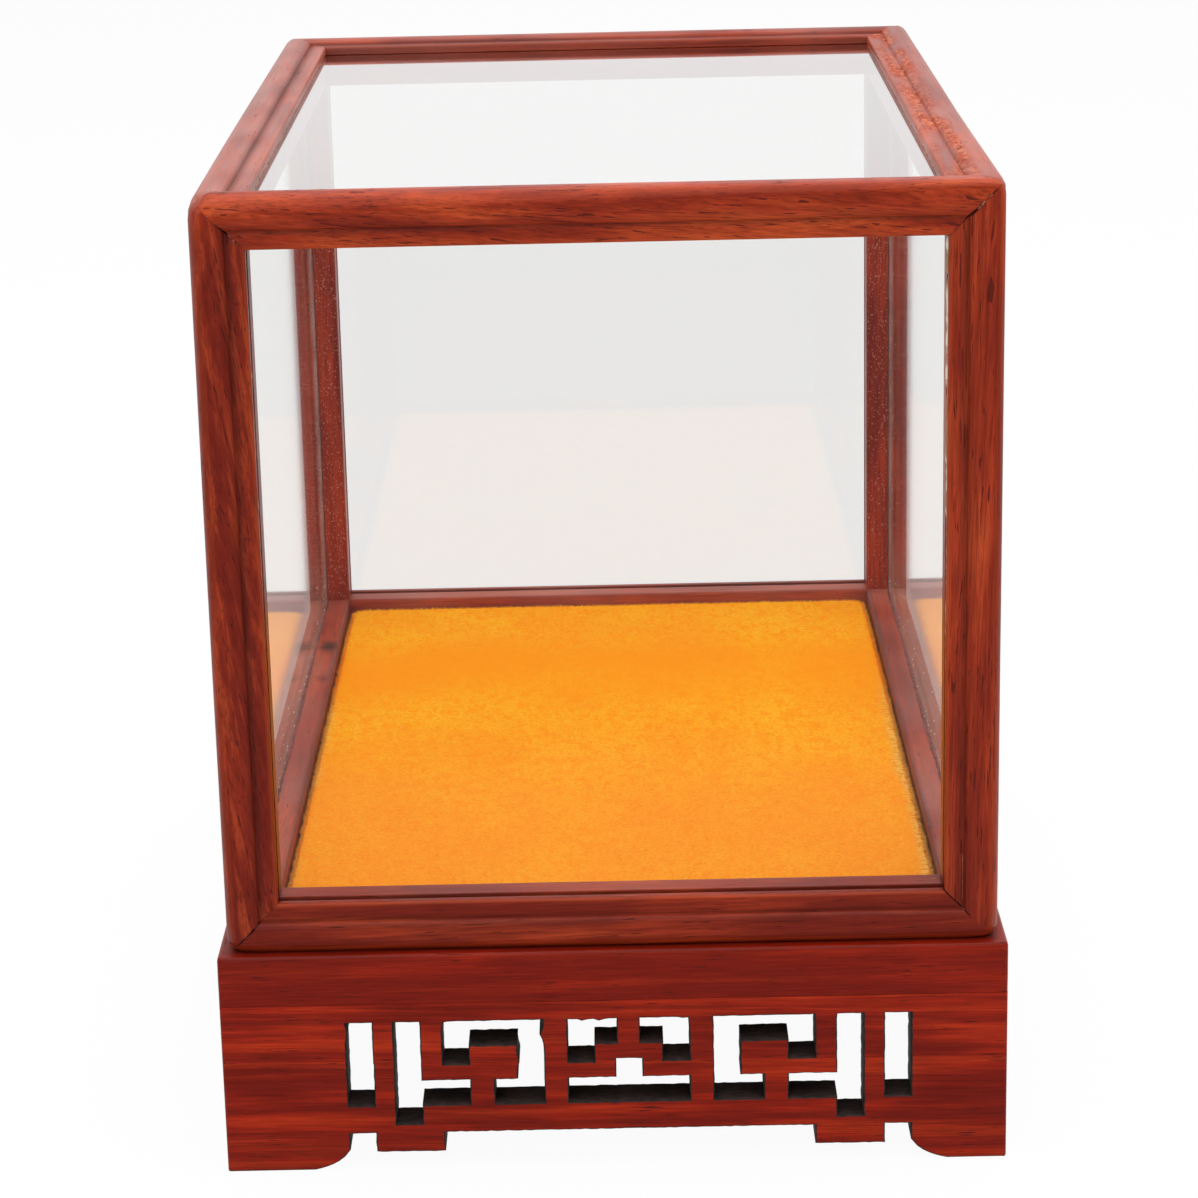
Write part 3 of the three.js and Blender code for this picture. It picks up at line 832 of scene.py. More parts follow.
def moulded_bar(name, middle, inward_a, inward_b, length, number, lowest=None):
    along = inward_a.cross(inward_b)
    corners = [tuple(int(round(c)) for c in way * along - inward_a - inward_b) for way in (-1, 1)]
    ends, open_by = cut_ends(corners, (axis_of(inward_a), axis_of(inward_b)), axis_of(along))
    plank, rows = PLANKS.get(name, {}), bar_rows(length)
    points, marks = [], []
    for row in rows:
        for i in range(len(section)):
            first, last = ends[0, i] - length / 2, length / 2 - ends[1, i]
            s = along_bar(row, first, last)
            full = 1.0
            if in_round[i]:
                full = fullness(corners[0], s - first) * fullness(corners[1], last - s)
            u, v = hand_planed(i, s, number, full)
            where = sanded(middle + inward_a * u + inward_b * v + along * s)
            if lowest is not None:
                where.z = max(where.z, lowest)
            points.append(where)
            gap = open_by[0, i] if s - first < last - s else open_by[1, i]
            at_end = min(0.5, 5 * gap) * max(0.0, 1 - min(s - first, last - s) / 0.4)
            marks.append(bar_marks(i, s, number, where, plank, at_end))
    values = {label: [mark[label] for mark in marks] for label in marks[0]}
    faces, kinds = bar_faces(len(rows), plank.get("bedded", False))
    finishes = [cover_wood, glues["groove_bedding"]]
    return write_piece("wood_" + name, points, faces, "cover", [name], finishes, values, kinds)


# %% [markdown]
# ## The cover's twelve bars
# Four posts stand at the corners, four rails run round the top and four round the bottom. The
# bottom rails were planed a little underneath so that the cover sits flat. Each bar comes from
# another plank: the front top rail is the lightest, and the left post is maroon with its grain
# at a slope. The table says for each how its tone, pores, dust, painted sheen, painted light
# inside and dark places, some of them painted shade, differ.

# %% The planks
POST_VALLEY = (0.45, 1.7)  # how dark the painted shade in the valley is, and how far it reaches
# The film value is a painted sheen, the inside tone of a bottom rail is painted light, and valley, shoulder,
# strip and arris set painted shade.
PLANKS = {
    "cover_top_rail_front": {"tone": 0.45, "slope": 0.09, "quiet": 0.5, "sparse": -0.1, "bedded": True},
    "cover_top_rail_back": {"tone": -0.1, "quiet": 0.4, "bedded": True, "strip": 0.3, "film_and_sheen": 0.2},
    "cover_top_rail_left": {"quiet": 0.8, "bedded": True, "film_and_sheen": 0.4, "valley": (0.5, 1.6)},
    "cover_top_rail_right": {
        "tone": 0.2,
        "quiet": 0.9,
        "torn": torn_along_rail,
        "bedded": True,
        "film_and_sheen": 0.25,
        "valley": (0.0, 1.0),
    },
    "cover_bottom_rail_front": {"tone": -0.25, "quiet": 0.5, "inner_painted_light": 0.5, "shoulder": 0.25},
    "cover_bottom_rail_back": {"quiet": 0.6, "inner_painted_light": 0.5, "arris": 0.3, "film_and_sheen": 0.2},
    "cover_bottom_rail_left": {"tone": 0.1, "quiet": 0.9, "inner_painted_light": 0.3, "arris": 0.7, "film_and_sheen": 0.25},
    "cover_bottom_rail_right": {"tone": 0.1, "quiet": 0.9, "inner_painted_light": 0.1, "arris": 0.7, "film_and_sheen": 0.35},
    "cover_post_front_left": {"tone": -0.5, "slope": 0.12, "valley": POST_VALLEY},
    "cover_post_front_right": {"tone": 0.3, "quiet": 0.45, "sparse": -0.1, "valley": POST_VALLEY},
    "cover_post_back_left": {"tone": 0.1, "dust": 0.7, "bedded": True},
    "cover_post_back_right": {"dust": 0.6, "bedded": True},
}
print("planks", len(PLANKS))

# %% [markdown]
# ## Putting the cover together
# A bar is placed by the middle of its outer edge and by the two ways in from its outer faces.
# Each is also numbered, so that no two have the same grain and the same unevenness.

# %% Make the twelve bars
SIDES = {"front": (0, -1), "back": (0, 1), "left": (-1, 0), "right": (1, 0)}
CORNERS = {"front_left": (-1, -1), "front_right": (1, -1), "back_left": (-1, 1), "back_right": (1, 1)}
bars = []
for name, (sx, sy) in CORNERS.items():
    middle = Vector((sx * COVER.x / 2, sy * COVER.y / 2, (COVER_FOOT - PLANED + COVER_TOP) / 2))
    inward = Vector((-sx, 0, 0)), Vector((0, -sy, 0))
    bars.append(moulded_bar("cover_post_" + name, middle, *inward, COVER.z + PLANED, len(bars) + 1))
for place, level_z, upward in (("top", COVER_TOP, -1), ("bottom", COVER_FOOT - PLANED, 1)):
    for name, (sx, sy) in SIDES.items():
        middle = Vector((sx * COVER.x / 2, sy * COVER.y / 2, level_z))
        inward = Vector((-sx, -sy, 0)), Vector((0, 0, upward))
        length = COVER.x if sx == 0 else COVER.y
        node = f"cover_{place}_rail_{name}"
        bars.append(moulded_bar(node, middle, *inward, length, len(bars) + 1, COVER_FOOT))
print("bars", len(bars), "faces", sum(len(b.data.polygons) for b in bars))

# %% [markdown]
# ## Pieces of the base
# A piece of the base runs along one side and meets its neighbours at 45 degrees. It is drawn
# once in its own terms, along the side, in from the outer face and up, and then turned.

# %% Turn a base piece to its side
def to_side(name, width, depth):
    sx, sy = SIDES[name]
    if sx == 0:
        return lambda a, inward, z: Vector((-sy * a, sy * (depth / 2 - inward), z))
    return lambda a, inward, z: Vector((sx * (width / 2 - inward), sx * a, z))


# %% [markdown]
# ## The base's frame
# Four flat rails lie on the fretted boards. Their outer top edge is eased, the corners are
# rounded a little, and a step inside carries the deck. A section drawn along a line is all they
# need, with the ends cut in plan. Their top is darkened under the cover's edge as painted shade,
# and the eased arris gets a little painted shade against its highlight.

# %% The frame rails
def frame_profile():
    seat = FRAME_HEIGHT - DECK_SEAT - 0.4
    points = [(0.08, 0.0), (0.0, 0.08)]
    points += arc((FRAME_EASE, FRAME_HEIGHT - FRAME_EASE), (FRAME_EASE, FRAME_EASE), 180, 90, 6)
    inner = FRAME_WIDTH - DECK_LEDGE
    points += [(inner - 0.2, FRAME_HEIGHT), (inner, FRAME_HEIGHT - 0.2), (inner, seat)]
    points += [(FRAME_WIDTH, seat), (FRAME_WIDTH, 0.0), (0.08, 0.0)]
    return closer(points, 1.6)[:-1]


def rounded_corner(inward, s, half_length, radius=1.0):
    """Moves a point near the end of a mitred rail onto a corner that is round, seen from above."""
    left = radius - inward
    along = abs(s) - (half_length - radius)
    if left <= 0 or along <= 0:
        return inward, s
    along = min(along, left * math.sqrt(0.5) - 0.02)
    return radius - math.sqrt(left**2 - along**2), math.copysign(half_length - radius + along, s)


def frame_rail(name, number):
    profile = frame_profile()
    count = len(profile)
    length = BASE.x if name in ("front", "back") else BASE.y
    turned = to_side(name, BASE.x, BASE.y)
    steps = int(length / 4)
    shares = [0, 0.001, 0.003, 0.008, *[k / steps for k in range(1, steps)], 0.992, 0.997, 0.999, 1]
    points, grain, dark_marks_and_shade = [], [], []
    for share in shares:
        for inward, up in profile:
            half = length / 2 - inward - 0.03
            s = -half + 2 * half * share
            inward, s = rounded_corner(inward, s, length / 2)
            uneven = noise.noise(Vector((up * 0.2, s * 0.02, number * 4.1)))
            push = 0.05 * (1 + uneven) if inward < 0.3 else 0.0
            drop = 0.04 * (1 + uneven) if up > FRAME_HEIGHT - 0.01 and inward < FRAME_WIDTH - 6 else 0.0
            low = GLUE - 0.02 if up < 0.1 else 0.0
            points.append(turned(s, inward + push, FRET_HEIGHT + GLUE + up - drop - low))
            grain.append((up * 1.1 + 40 * number, inward, s + 90 * number))
            # Painted shade: on the eased arris against its highlight, and on the top under the cover's edge.
            on_arris = 0.2 * max(0.0, 1 - math.hypot(inward - 0.25, up - FRAME_HEIGHT + 0.25) / 0.8)
            dark_marks_and_shade.append(max(on_arris, 0.6 * min(1.0, max(0.0, (inward - 1.8) / 0.8))))
    faces = rings(len(shares), count)
    faces.append(tuple(reversed(range(count))))
    faces.append(tuple((len(shares) - 1) * count + i for i in range(count)))
    ones = np.ones(len(points))
    values = {"grain": grain, "dark_marks_and_shade": dark_marks_and_shade, "tone": -0.4 * ones, "quiet": 0.9 * ones}
    node_name = "base_frame_rail_" + name
    return write_piece(
        "wood_" + node_name, points, faces, "base", [node_name], [base_wood], values
    )


frame_rails = [frame_rail(name, number) for number, name in enumerate(SIDES, 1)]
print("frame rails", len(frame_rails))

# %% [markdown]
# ## The fretted boards
# Each board is a plank with a pattern of slots sawn right through, a traditional one of linked
# right angles, with a bracket foot at each end. A Boolean would cut it, but leaves long thin
# faces and perfect edges. Here the board is a sheet of small squares with the slots left
# out: the squares' corners beside a slot can be nudged, as a hand-held saw does, and the walls
# and the softened rims come from the same squares.

# %% The slots of a board
COLUMNS = {
    "tip": 0.092,
    "inner": 0.177,
    "leg": 0.365,
    "hook": 0.452,
    "arm": 0.643,
    "post": 0.823,
    "edge": 1.0,
}
ROWS = {"top": 0.184, "short": 0.295, "stem": 0.428, "bottom": 0.54, "deep": 0.655}
HALF_PATTERN = [
    ("edge", "top", "edge", "bottom"),
    ("post", "top", "post", "deep"),
    ("arm", "bottom", "post", "bottom"),
    ("leg", "top", "arm", "top"),
    ("arm", "top", "arm", "short"),
    ("leg", "top", "leg", "bottom"),
    ("leg", "bottom", "hook", "bottom"),
    ("tip", "top", "inner", "top"),
    ("inner", "top", "inner", "short"),
]


def slots(reach, shift):
    strokes = []
    for a, top, b, low in HALF_PATTERN:
        for side in (-1, 1):
            ends = sorted((side * COLUMNS[a] * reach, side * COLUMNS[b] * reach))
            strokes.append((ends[0], ROWS[top], ends[1], ROWS[low]))
    strokes.append((-COLUMNS["inner"] * reach, ROWS["bottom"], COLUMNS["inner"] * reach, ROWS["bottom"]))
    strokes.append((0.0, ROWS["stem"], 0.0, ROWS["bottom"]))
    grow = SLOT / 2
    return [
        (
            shift + a - grow,
            FRET_HEIGHT * (1 - low) - grow,
            shift + b + grow,
            FRET_HEIGHT * (1 - top) + grow,
        )
        for a, top, b, low in strokes
    ]


# %% [markdown]
# ## Squares of a board
# Lines are drawn across the board at every edge of a slot, foot and apron, and more between them
# until no square is wider than 1.3 mm. A square is kept where its middle is wood. That is a small
# sum for each square, while cutting the board with other shapes needs a clean-up afterwards.

# %% The squares that are wood
APRON, BLOCK, TOE_WIDE, TOE_HIGH = 8.1, 3.8, 7.6, 4.4
ARRIS = 0.9
SQUARE = 1.3
INNER_END = 11.5  # from the end of a board to where its back starts to be mitred


def refined(cuts, step):
    cuts = sorted(cuts)
    merged = [cuts[0]]
    for c in cuts[1:]:
        if c - merged[-1] > 0.02:
            merged.append(c)
    filled = [merged[0]]
    for a, b in zip(merged, merged[1:]):
        parts = max(1, math.ceil((b - a) / step))
        filled += [a + (b - a) * i / parts for i in range(1, parts + 1)]
    return filled


def board_plan(name, number):
    plan = SimpleNamespace(name=name, number=number)
    plan.width, plan.depth = BASE.x - 2 * FRET_SETBACK, BASE.y - 2 * FRET_SETBACK
    plan.end = end = (plan.width if name in ("front", "back") else plan.depth) / 2
    plan.inner_end = end - INNER_END
    plan.shift = shift = FRET_SHIFT if name == "front" else 0.0
    reach = end - FRET_END
    plan.foot = foot = reach + SLOT / 2
    notch, block = reach - SLOT / 2, reach * COLUMNS["arm"] + SLOT / 2
    holes = slots(reach, shift)
    cuts_x = [x for hole in holes for x in (hole[0], hole[2])]
    for side in (-1, 1):
        cuts_x += [shift + side * d for d in (foot, notch, block, foot + TOE_WIDE, foot + TOE_WIDE / 2)]
        cuts_x += [side * (end - d) for d in (0, ARRIS * 0.45, ARRIS * 0.7, ARRIS, INNER_END)]
    cuts_z = [0.0, FRET_HEIGHT, APRON, BLOCK] + [z for hole in holes for z in (hole[1], hole[3])]
    plan.xs, plan.zs = xs, zs = refined(cuts_x, SQUARE), refined(cuts_z, SQUARE)

    def is_wood(x, z):
        if any(x0 < x < x1 and z0 < z < z1 for x0, z0, x1, z1 in holes):
            return False
        out = abs(x - shift)
        return out > foot or z > (BLOCK if block < out < notch else APRON)

    plan.cells = {
        (i, k)
        for i in range(len(xs) - 1)
        for k in range(len(zs) - 1)
        if is_wood((xs[i] + xs[i + 1]) / 2, (zs[k] + zs[k + 1]) / 2)
    }
    return plan


# %% [markdown]
# ## The saw and the toes
# A fret saw held by hand wanders by a tenth of a millimetre, and in a few places on the front it
# slipped and left a burr or an overcut. The corners of the squares beside a slot are moved by
# smooth noise and by those slips. The lowest rows are lifted to the curve of the toe, which
# keeps the squares in step with the rest of the board.

# %% Where the corner of a square lies
BURR_REACH = 1.7
BURRS = {  # where the saw slipped: a place on a board and how far the edge is pushed there
    "front": (
        (-14.4, 30.0, -1.0, 0.0),
        (-2.9, 32.9, 0.0, -0.6),
        (-6.2, 33.2, -0.3, -0.5),
        (-20.4, 23.8, 0.5, 0.2),
        (-55.8, 30.9, 0.5, 0.0),
        (-35.8, 32.6, 0.3, -0.4),
        (14.8, 32.8, -0.4, -0.4),
    )
}


def toe_line(distance, foot):
    """How high the underside of a foot is, at a distance from the middle of the pattern."""
    t = np.linspace(0, 1, 41)
    across = (1 - t) ** 2 * (foot + TOE_WIDE) + 2 * t * (1 - t) * (foot + TOE_WIDE / 4) + t**2 * foot
    height = 2 * t * (1 - t) * TOE_HIGH / 4 + t**2 * TOE_HIGH
    return float(np.interp(distance, across[::-1], height[::-1], left=TOE_HIGH, right=0.0))


def on_board(plan, i, k):
    x, z = plan.xs[i], plan.zs[k]
    around = [(i - 1, k - 1), (i, k - 1), (i - 1, k), (i, k)]
    edge = any(c not in plan.cells for c in around) and 0 < i < len(plan.xs) - 1
    if edge and 0.5 < z < FRET_HEIGHT - 0.5:
        for burr_x, burr_z, push_x, push_z in BURRS.get(plan.name, ()):
            near_burr = max(0.0, 1 - math.hypot(x - burr_x, z - burr_z) / BURR_REACH)
            x, z = x + push_x * near_burr, z + push_z * near_burr
        x += 0.15 * noise.noise(Vector((x * 1.2, z * 1.2, plan.number * 3.3)))
        z += 0.15 * noise.noise(Vector((x * 1.2 + 50, z * 1.2, plan.number * 3.3)))
    out = abs(plan.xs[i] - plan.shift)
    if plan.foot - 0.01 <= out <= plan.foot + TOE_WIDE and plan.zs[k] < APRON:
        lift = toe_line(out, plan.foot)
        z = lift + plan.zs[k] * (1 - lift / APRON)
    return x, z


def in_depth(plan, x, z, back):
    """The same point on the back, where the ends are mitred, or on the face, where they are rounded."""
    side = 1 if x > 0 else -1
    if back:
        if abs(x) > plan.inner_end:
            share = (abs(x) - plan.inner_end) / (plan.end - plan.inner_end)
            x = side * (plan.inner_end + share * (plan.end - FRET_THICK - 0.04 - plan.inner_end))
        return x, FRET_THICK, z
    beyond = abs(x) - (plan.end - ARRIS)
    if beyond <= 0:
        return x, 0.03 * (1 + noise.noise(Vector((x * 0.03, z * 0.05, plan.number * 6.7)))), z
    turned_x = min(beyond, ARRIS * math.sqrt(0.5))
    inward = ARRIS - math.sqrt(max(0.0, ARRIS**2 - turned_x**2))
    x = side * (plan.end - ARRIS + turned_x - (0.02 if beyond >= ARRIS - 0.01 else 0.0))
    return x, inward, z


# %% [markdown]
# ## One fretted board
# Every square gets a face before and behind, and a wall wherever its neighbour is missing. The
# walls of slots, feet and apron get the sawn finish, the ends and the top don't. A bevel along
# the rims, where a saw leaves the wood soft, catches a thin line of light.

# %% One fretted board
def fret_board(name, number):
    plan = board_plan(name, number)
    turned = to_side(name, plan.width, plan.depth)
    columns, rows = len(plan.xs) - 1, len(plan.zs) - 1
    index, points, grain, faces, kinds = {}, [], [], [], []

    def point(i, k, back):
        key = (i, k, back)
        if key not in index:
            x, inward, z = in_depth(plan, *on_board(plan, i, k), back)
            index[key] = len(points)
            points.append(turned(x, inward, z))
            bend = 1.6 * noise.noise(Vector((x * 0.012, number * 2.9, 1.0)))
            grain.append((z + bend + 0.015 * x + 61 * number, inward, x + 83 * number))
        return index[key]

    for i, k in sorted(plan.cells):
        ring = [(i, k), (i + 1, k), (i + 1, k + 1), (i, k + 1)]
        faces.append([point(a, b, False) for a, b in ring])
        faces.append([point(a, b, True) for a, b in reversed(ring)])
        kinds += [0, 0]
        for ni, nk, a, b in ((i, k - 1, 0, 1), (i + 1, k, 1, 2), (i, k + 1, 2, 3), (i - 1, k, 3, 0)):
            if (ni, nk) not in plan.cells:
                wall = ((ring[b], False), (ring[a], False), (ring[a], True), (ring[b], True))
                faces.append([point(*corner, back) for corner, back in wall])
                inside = 0 < ni < columns - 1 or 0 <= nk < rows
                kinds.append(int(inside and 0 <= ni < columns and nk < rows))
    values = {"grain": grain, "tone": [0.1] * len(points)}
    node_name, finishes = "fret_board_" + name, [base_wood, sawn_wood]
    return write_piece(
        "wood_" + node_name, points, faces, "base", [node_name], finishes, values, kinds
    )


def soften_rims(piece, offset):
    """Bevels the edges where a face meets a sawn wall, and gives the bevel the sawn finish."""
    edit = bmesh.new()
    edit.from_mesh(piece.data)
    shared = [e for e in edit.edges if len(e.link_faces) == 2]
    rims = [e for e in shared if {f.material_index for f in e.link_faces} == {0, 1}]
    bmesh.ops.bevel(edit, geom=rims, offset=offset * MM, segments=2, profile=0.5, affect="EDGES", material=1)
    edit.to_mesh(piece.data)
    edit.free()
    piece.data.set_sharp_from_angle(angle=math.radians(38))


fret_boards = [fret_board(name, number) for number, name in enumerate(SIDES, 1)]
for board in fret_boards:
    soften_rims(board, 0.26)
print("fretted boards", len(fret_boards), "faces", sum(len(b.data.polygons) for b in fret_boards))

# %% [markdown]
# ## The cut edge of the plush
# The plush is a piece of cloth cut with scissors and laid on the board. Its outline has round
# corners, its cut edge wanders a little, and the pile falls away there. A function gives the
# place of any point of it, so that the sheet and the blades of its pile agree.

# %% The outline of the plush
PLUSH_HALF = (68.3, 104.2)
PLUSH_LOW, PLUSH_HIGH = 54.9, 56.6
PLUSH_ROUND = 4.6
FADE_AND_SHADE_FROM = 65.6  # the pile is bleached, with painted shade among it, beyond this at the right and the left


def fade_and_shade_at(x, y):
    edge = FADE_AND_SHADE_FROM + 1.2 * noise.noise(Vector((0.5, y * 0.05, 9.0)))
    right = 0.75 * min(1.0, max(0.0, (x - edge) / 1.8)) * min(1.0, max(0.0, (60 - y) / 80))
    left = 0.5 * min(1.0, max(0.0, -x - edge - 1.5)) * min(1.0, max(0.0, (80 - y) / 50))
    return max(right, left)


def plush_top(x, y, from_edge):
    tuft = noise.noise(Vector((x * 1.6, y * 1.6, 2.0))) * 0.12
    leaning = noise.noise(Vector((x * 0.12, y * 0.09, 5.0))) * 0.10
    fall = max(0.0, 1 - from_edge / 1.3) ** 2
    return min(PLUSH_HIGH, PLUSH_HIGH - 0.24 + tuft + leaning - fall * 0.9)


def plush_place(a, b):
    """A point of the sheet, and how far from its edge it is, for a and b between -1 and 1."""
    half_x, half_y = PLUSH_HALF
    x, y = a * half_x, b * half_y
    over_x, over_y = abs(x) - (half_x - PLUSH_ROUND), abs(y) - (half_y - PLUSH_ROUND)
    from_edge = min(half_x - abs(x), half_y - abs(y))
    if over_x > 0 and over_y > 0:
        ring, away = max(over_x, over_y), math.hypot(over_x, over_y)
        x -= math.copysign(over_x - over_x / away * ring, x)
        y -= math.copysign(over_y - over_y / away * ring, y)
        from_edge = PLUSH_ROUND - ring
    cut = 0.1 + 0.2 * noise.noise(Vector((x * 0.2, y * 0.2, 0.5))) + 0.3 * noise.noise(Vector((x, y, 3.5)))
    cut = max(-0.22, cut - 0.2 + max(0.0, y - 60) * 0.012) * max(0.0, 1 - from_edge / 2)
    if abs(a) > abs(b):
        x -= math.copysign(cut, x)
    else:
        y -= math.copysign(cut, y)
    return x, y, from_edge


# %% [markdown]
# ## The plush sheet
# A dense sheet of points takes the unevenness of the pile as real shape. Cloth simulation has
# nothing to add to a sheet that lies flat.

# %% The plush sheet
PLUSH_STEP = 0.6


def plush_sheet():
    nx, ny = (int(2 * half / PLUSH_STEP) for half in PLUSH_HALF)
    points, tip, fade_and_shade = [], [], []
    for j in range(ny + 1):
        for i in range(nx + 1):
            x, y, from_edge = plush_place(2 * i / nx - 1, 2 * j / ny - 1)
            points.append((x, y, plush_top(x, y, from_edge)))
            # Painted shade: the pile darkens toward its root tint near the cut edge.
            tip.append(0.5 - 0.2 * max(0.0, 1 - from_edge / 1.2))
            fade_and_shade.append(fade_and_shade_at(x, y))
    wide = nx + 1
    starts = [c for j in range(ny) for c in range(j * wide, j * wide + nx)]
    faces = [(c, c + 1, c + wide + 1, c + wide) for c in starts]
    rim = [i for i in range(nx)] + [j * wide + nx for j in range(ny)]
    rim += [ny * wide + i for i in range(nx, 0, -1)] + [j * wide for j in range(ny, 0, -1)]
    under = len(points)
    points += [(points[i][0], points[i][1], PLUSH_LOW) for i in rim]
    # Painted shade: the cut wall of the sheet gets the dark root tint.
    tip += [0.1] * len(rim)
    fade_and_shade += [0.0] * len(rim)
    for k in range(len(rim)):
        following = (k + 1) % len(rim)
        faces.append((rim[k], under + k, under + following, rim[following]))
    faces.append(tuple(under + k for k in reversed(range(len(rim)))))
    values = {"tip": tip, "fade_and_shade": fade_and_shade}
    return write_piece("plush_cloth", points, faces, "base", ["plush_sheet"], [plush_pile], values)


plush = plush_sheet()
print("plush faces", len(plush.data.polygons))

# %% [markdown]
# ## The pile
# The pile is what makes plush look soft: its edge is never a clean line. Short blades are
# planted thickly along the cut and thinly over the top. Each is a tapered spike that leans, with
# painted shade at its root and a painted highlight at its tip. Hair particles would give the same
# look, but not in a mesh file.

# %% Blades of pile
draws = random.Random(7)
EDGE_BLADES, TOP_BLADES = 18000, 12000
BLADE_BEYOND = 0.55  # how far a tip may reach past the sheet's edge


def blade(points, faces, values, root, lean, tall, wide):
    start = len(points)
    turn = draws.uniform(0, math.tau)
    for k in range(3):
        angle = turn + k * math.tau / 3
        points.append(root + Vector((math.cos(angle), math.sin(angle), 0)) * wide)
    points.append(root + lean + Vector((0, 0, tall)))
    faces += [(start, start + 1, start + 3), (start + 1, start + 2, start + 3)]
    faces += [(start + 2, start, start + 3), (start + 2, start + 1, start)]
    # Painted shade at the root, painted highlight at the tip.
    values["tip"] += [0.4, 0.4, 0.4, draws.uniform(0.6, 1.0)]
    values["fade_and_shade"] += [fade_and_shade_at(root.x, root.y)] * 4


def pile():
    points, faces, values = [], [], {"tip": [], "fade_and_shade": []}
    half_x, half_y = PLUSH_HALF
    for _ in range(EDGE_BLADES):
        along, inside = draws.uniform(-1, 1), draws.uniform(0.0, 0.9)
        if draws.random() < half_y / (half_x + half_y):
            a, b = math.copysign(1 - inside / half_x, draws.uniform(-1, 1)), along
        else:
            a, b = along, math.copysign(1 - inside / half_y, draws.uniform(-1, 1))
        x, y, from_edge = plush_place(a, b)
        outward = Vector((math.copysign(abs(a) > abs(b), a), math.copysign(abs(b) >= abs(a), b), 0))
        clump = 0.75 + 0.8 * noise.noise(Vector((x * 1.1, y * 1.1, 7.0)))
        out = draws.uniform(0.2, from_edge * 0.6 + BLADE_BEYOND) * clump
        lean = outward * out + Vector((draws.gauss(0, 0.3), draws.gauss(0, 0.3), 0))
        lean.x = min(max(lean.x, -half_x - BLADE_BEYOND - x), half_x + BLADE_BEYOND - x)
        lean.y = min(max(lean.y, -half_y - BLADE_BEYOND - y), half_y + BLADE_BEYOND - y)
        root = Vector((x, y, plush_top(x, y, from_edge) - 0.15))
        tall = min(draws.uniform(0.2, 0.9), PLUSH_HIGH - root.z)
        blade(points, faces, values, root, lean, tall, draws.uniform(0.08, 0.15))
    for _ in range(TOP_BLADES):
        x, y, from_edge = plush_place(draws.uniform(-0.985, 0.985), draws.uniform(-0.985, 0.985))
        root = Vector((x, y, plush_top(x, y, from_edge) - 0.2))
        lean = Vector((draws.gauss(0.05, 0.4), draws.gauss(-0.2, 0.4), 0))
        blade(points, faces, values, root, lean, draws.uniform(0.22, 0.4), draws.uniform(0.10, 0.20))
    return write_piece("plush_blades", points, faces, "base", [], [plush_pile], values)


blades = pile()
print("blades of pile", len(blades.data.polygons) // 4)

# %% [markdown]
# ## Threads of glue
# Where the maker bedded the panes, a little glue squeezed out and set as a ragged line, and
# mitres that gaped were packed with filler. All are modelled as threads of uneven thickness
# laid along a path. Painting them on the wood would lose the raised edge they have.

# %% A thread along a path
def thread(points, faces, path, thick, seed, sides=6):
    """Adds a closed thread along a path. Its thickness wanders, and it tapers at both ends."""
    start, last = len(points), len(path) - 1
    for k, at in enumerate(path):
        ahead = (path[min(k + 1, last)] - path[max(k - 1, 0)]).normalized()
        aside = ahead.orthogonal().normalized()
        upward = ahead.cross(aside)
        taper = min(1.0, (k + 0.1) / 1.5, (last - k + 0.1) / 1.5)
        wide = thick * taper * (1 + 0.75 * noise.noise(at * 0.45 + Vector((seed, 0, 0))))
        for n in range(sides):
            angle = math.tau * n / sides
            points.append(at + (aside * math.cos(angle) + upward * math.sin(angle)) * wide)
    faces += [[start + i for i in face] for face in rings(len(path), sides)]
    faces.append([start + n for n in reversed(range(sides))])
    faces.append([start + last * sides + n for n in range(sides)])


def straight(start, end, step=0.7, stray=0.10, seed=0.0):
    start, end = Vector(start), Vector(end)
    count = max(3, int((end - start).length / step))
    path = []
    for k in range(count + 1):
        at = start.lerp(end, k / count)
        offset = [noise.noise(at * 0.6 + Vector((seed, 20.0 * axis, 0))) * stray for axis in range(3)]
        path.append(at + Vector(offset))
    return path


def thread_piece(name, glue, threads):
    points, faces = [], []
    for number, (path, thick) in enumerate(threads):
        thread(points, faces, path, thick, number * 3.7)
    print(name, "threads", len(threads))
    return write_piece(name, points, faces, "cover", [], [glues[glue]], {})


# %% [markdown]
# ## Glue along the panes
# The pale glue runs beside the front pane, thickest at the top right. Brown glue lies along the
# top pane, and the side panes stand in a reddish bead at their feet. Each run is broken into a
# few threads of its own thickness, because glue is wiped off in places.

# %% Glue along the panes
PANE_FRONT, PANE_TOP = -COVER.y / 2 + PANE_IN, COVER_TOP - PANE_IN
LIP = BAR_REACH - 0.12
STILE, FOOT_RAIL = COVER.x / 2 - LIP, COVER_FOOT - PLANED + LIP
HEAD = COVER_TOP - LIP - 0.05
fringe = []
before = PANE_FRONT - 0.1
for low, high, thick in ((188, 195.5, 0.34), (165, 187, 0.26), (138, 164, 0.20), (104, 137, 0.08)):
    x = STILE - 0.5 * thick
    fringe.append((straight((x, before, low), (x, before, high), seed=low), thick))
fringe.append((straight((-STILE, before, 120), (-STILE, before, 195), seed=4), 0.08))
before = PANE_FRONT - 0.08
for left, right, thick in ((-67, -20, 0.12), (-19, 22, 0.09), (23, 67, 0.16)):
    fringe.append((straight((left, before, HEAD), (right, before, HEAD), seed=right), thick))
thread_piece("pane_glue", "pale_glue", fringe)

bedding, pane_feet = [], []
for side in (-1, 1):
    for near, far, thick in ((-103, -60, 0.17), (-58, 10, 0.12), (15, 100, 0.08)):
        x, z = side * (STILE - 0.3 * thick), PANE_TOP + 0.05
        bedding.append((straight((x, near, z), (x, far, z), seed=near), thick))
    for near, far, thick in ((-103, -30, 0.24), (-32, 40, 0.3), (38, 103, 0.26)):
        x, z = side * (COVER.x / 2 - GROOVE[1] - 0.15), FOOT_RAIL + 0.1
        pane_feet.append((straight((x, near, z), (x, far, z), seed=far), thick))
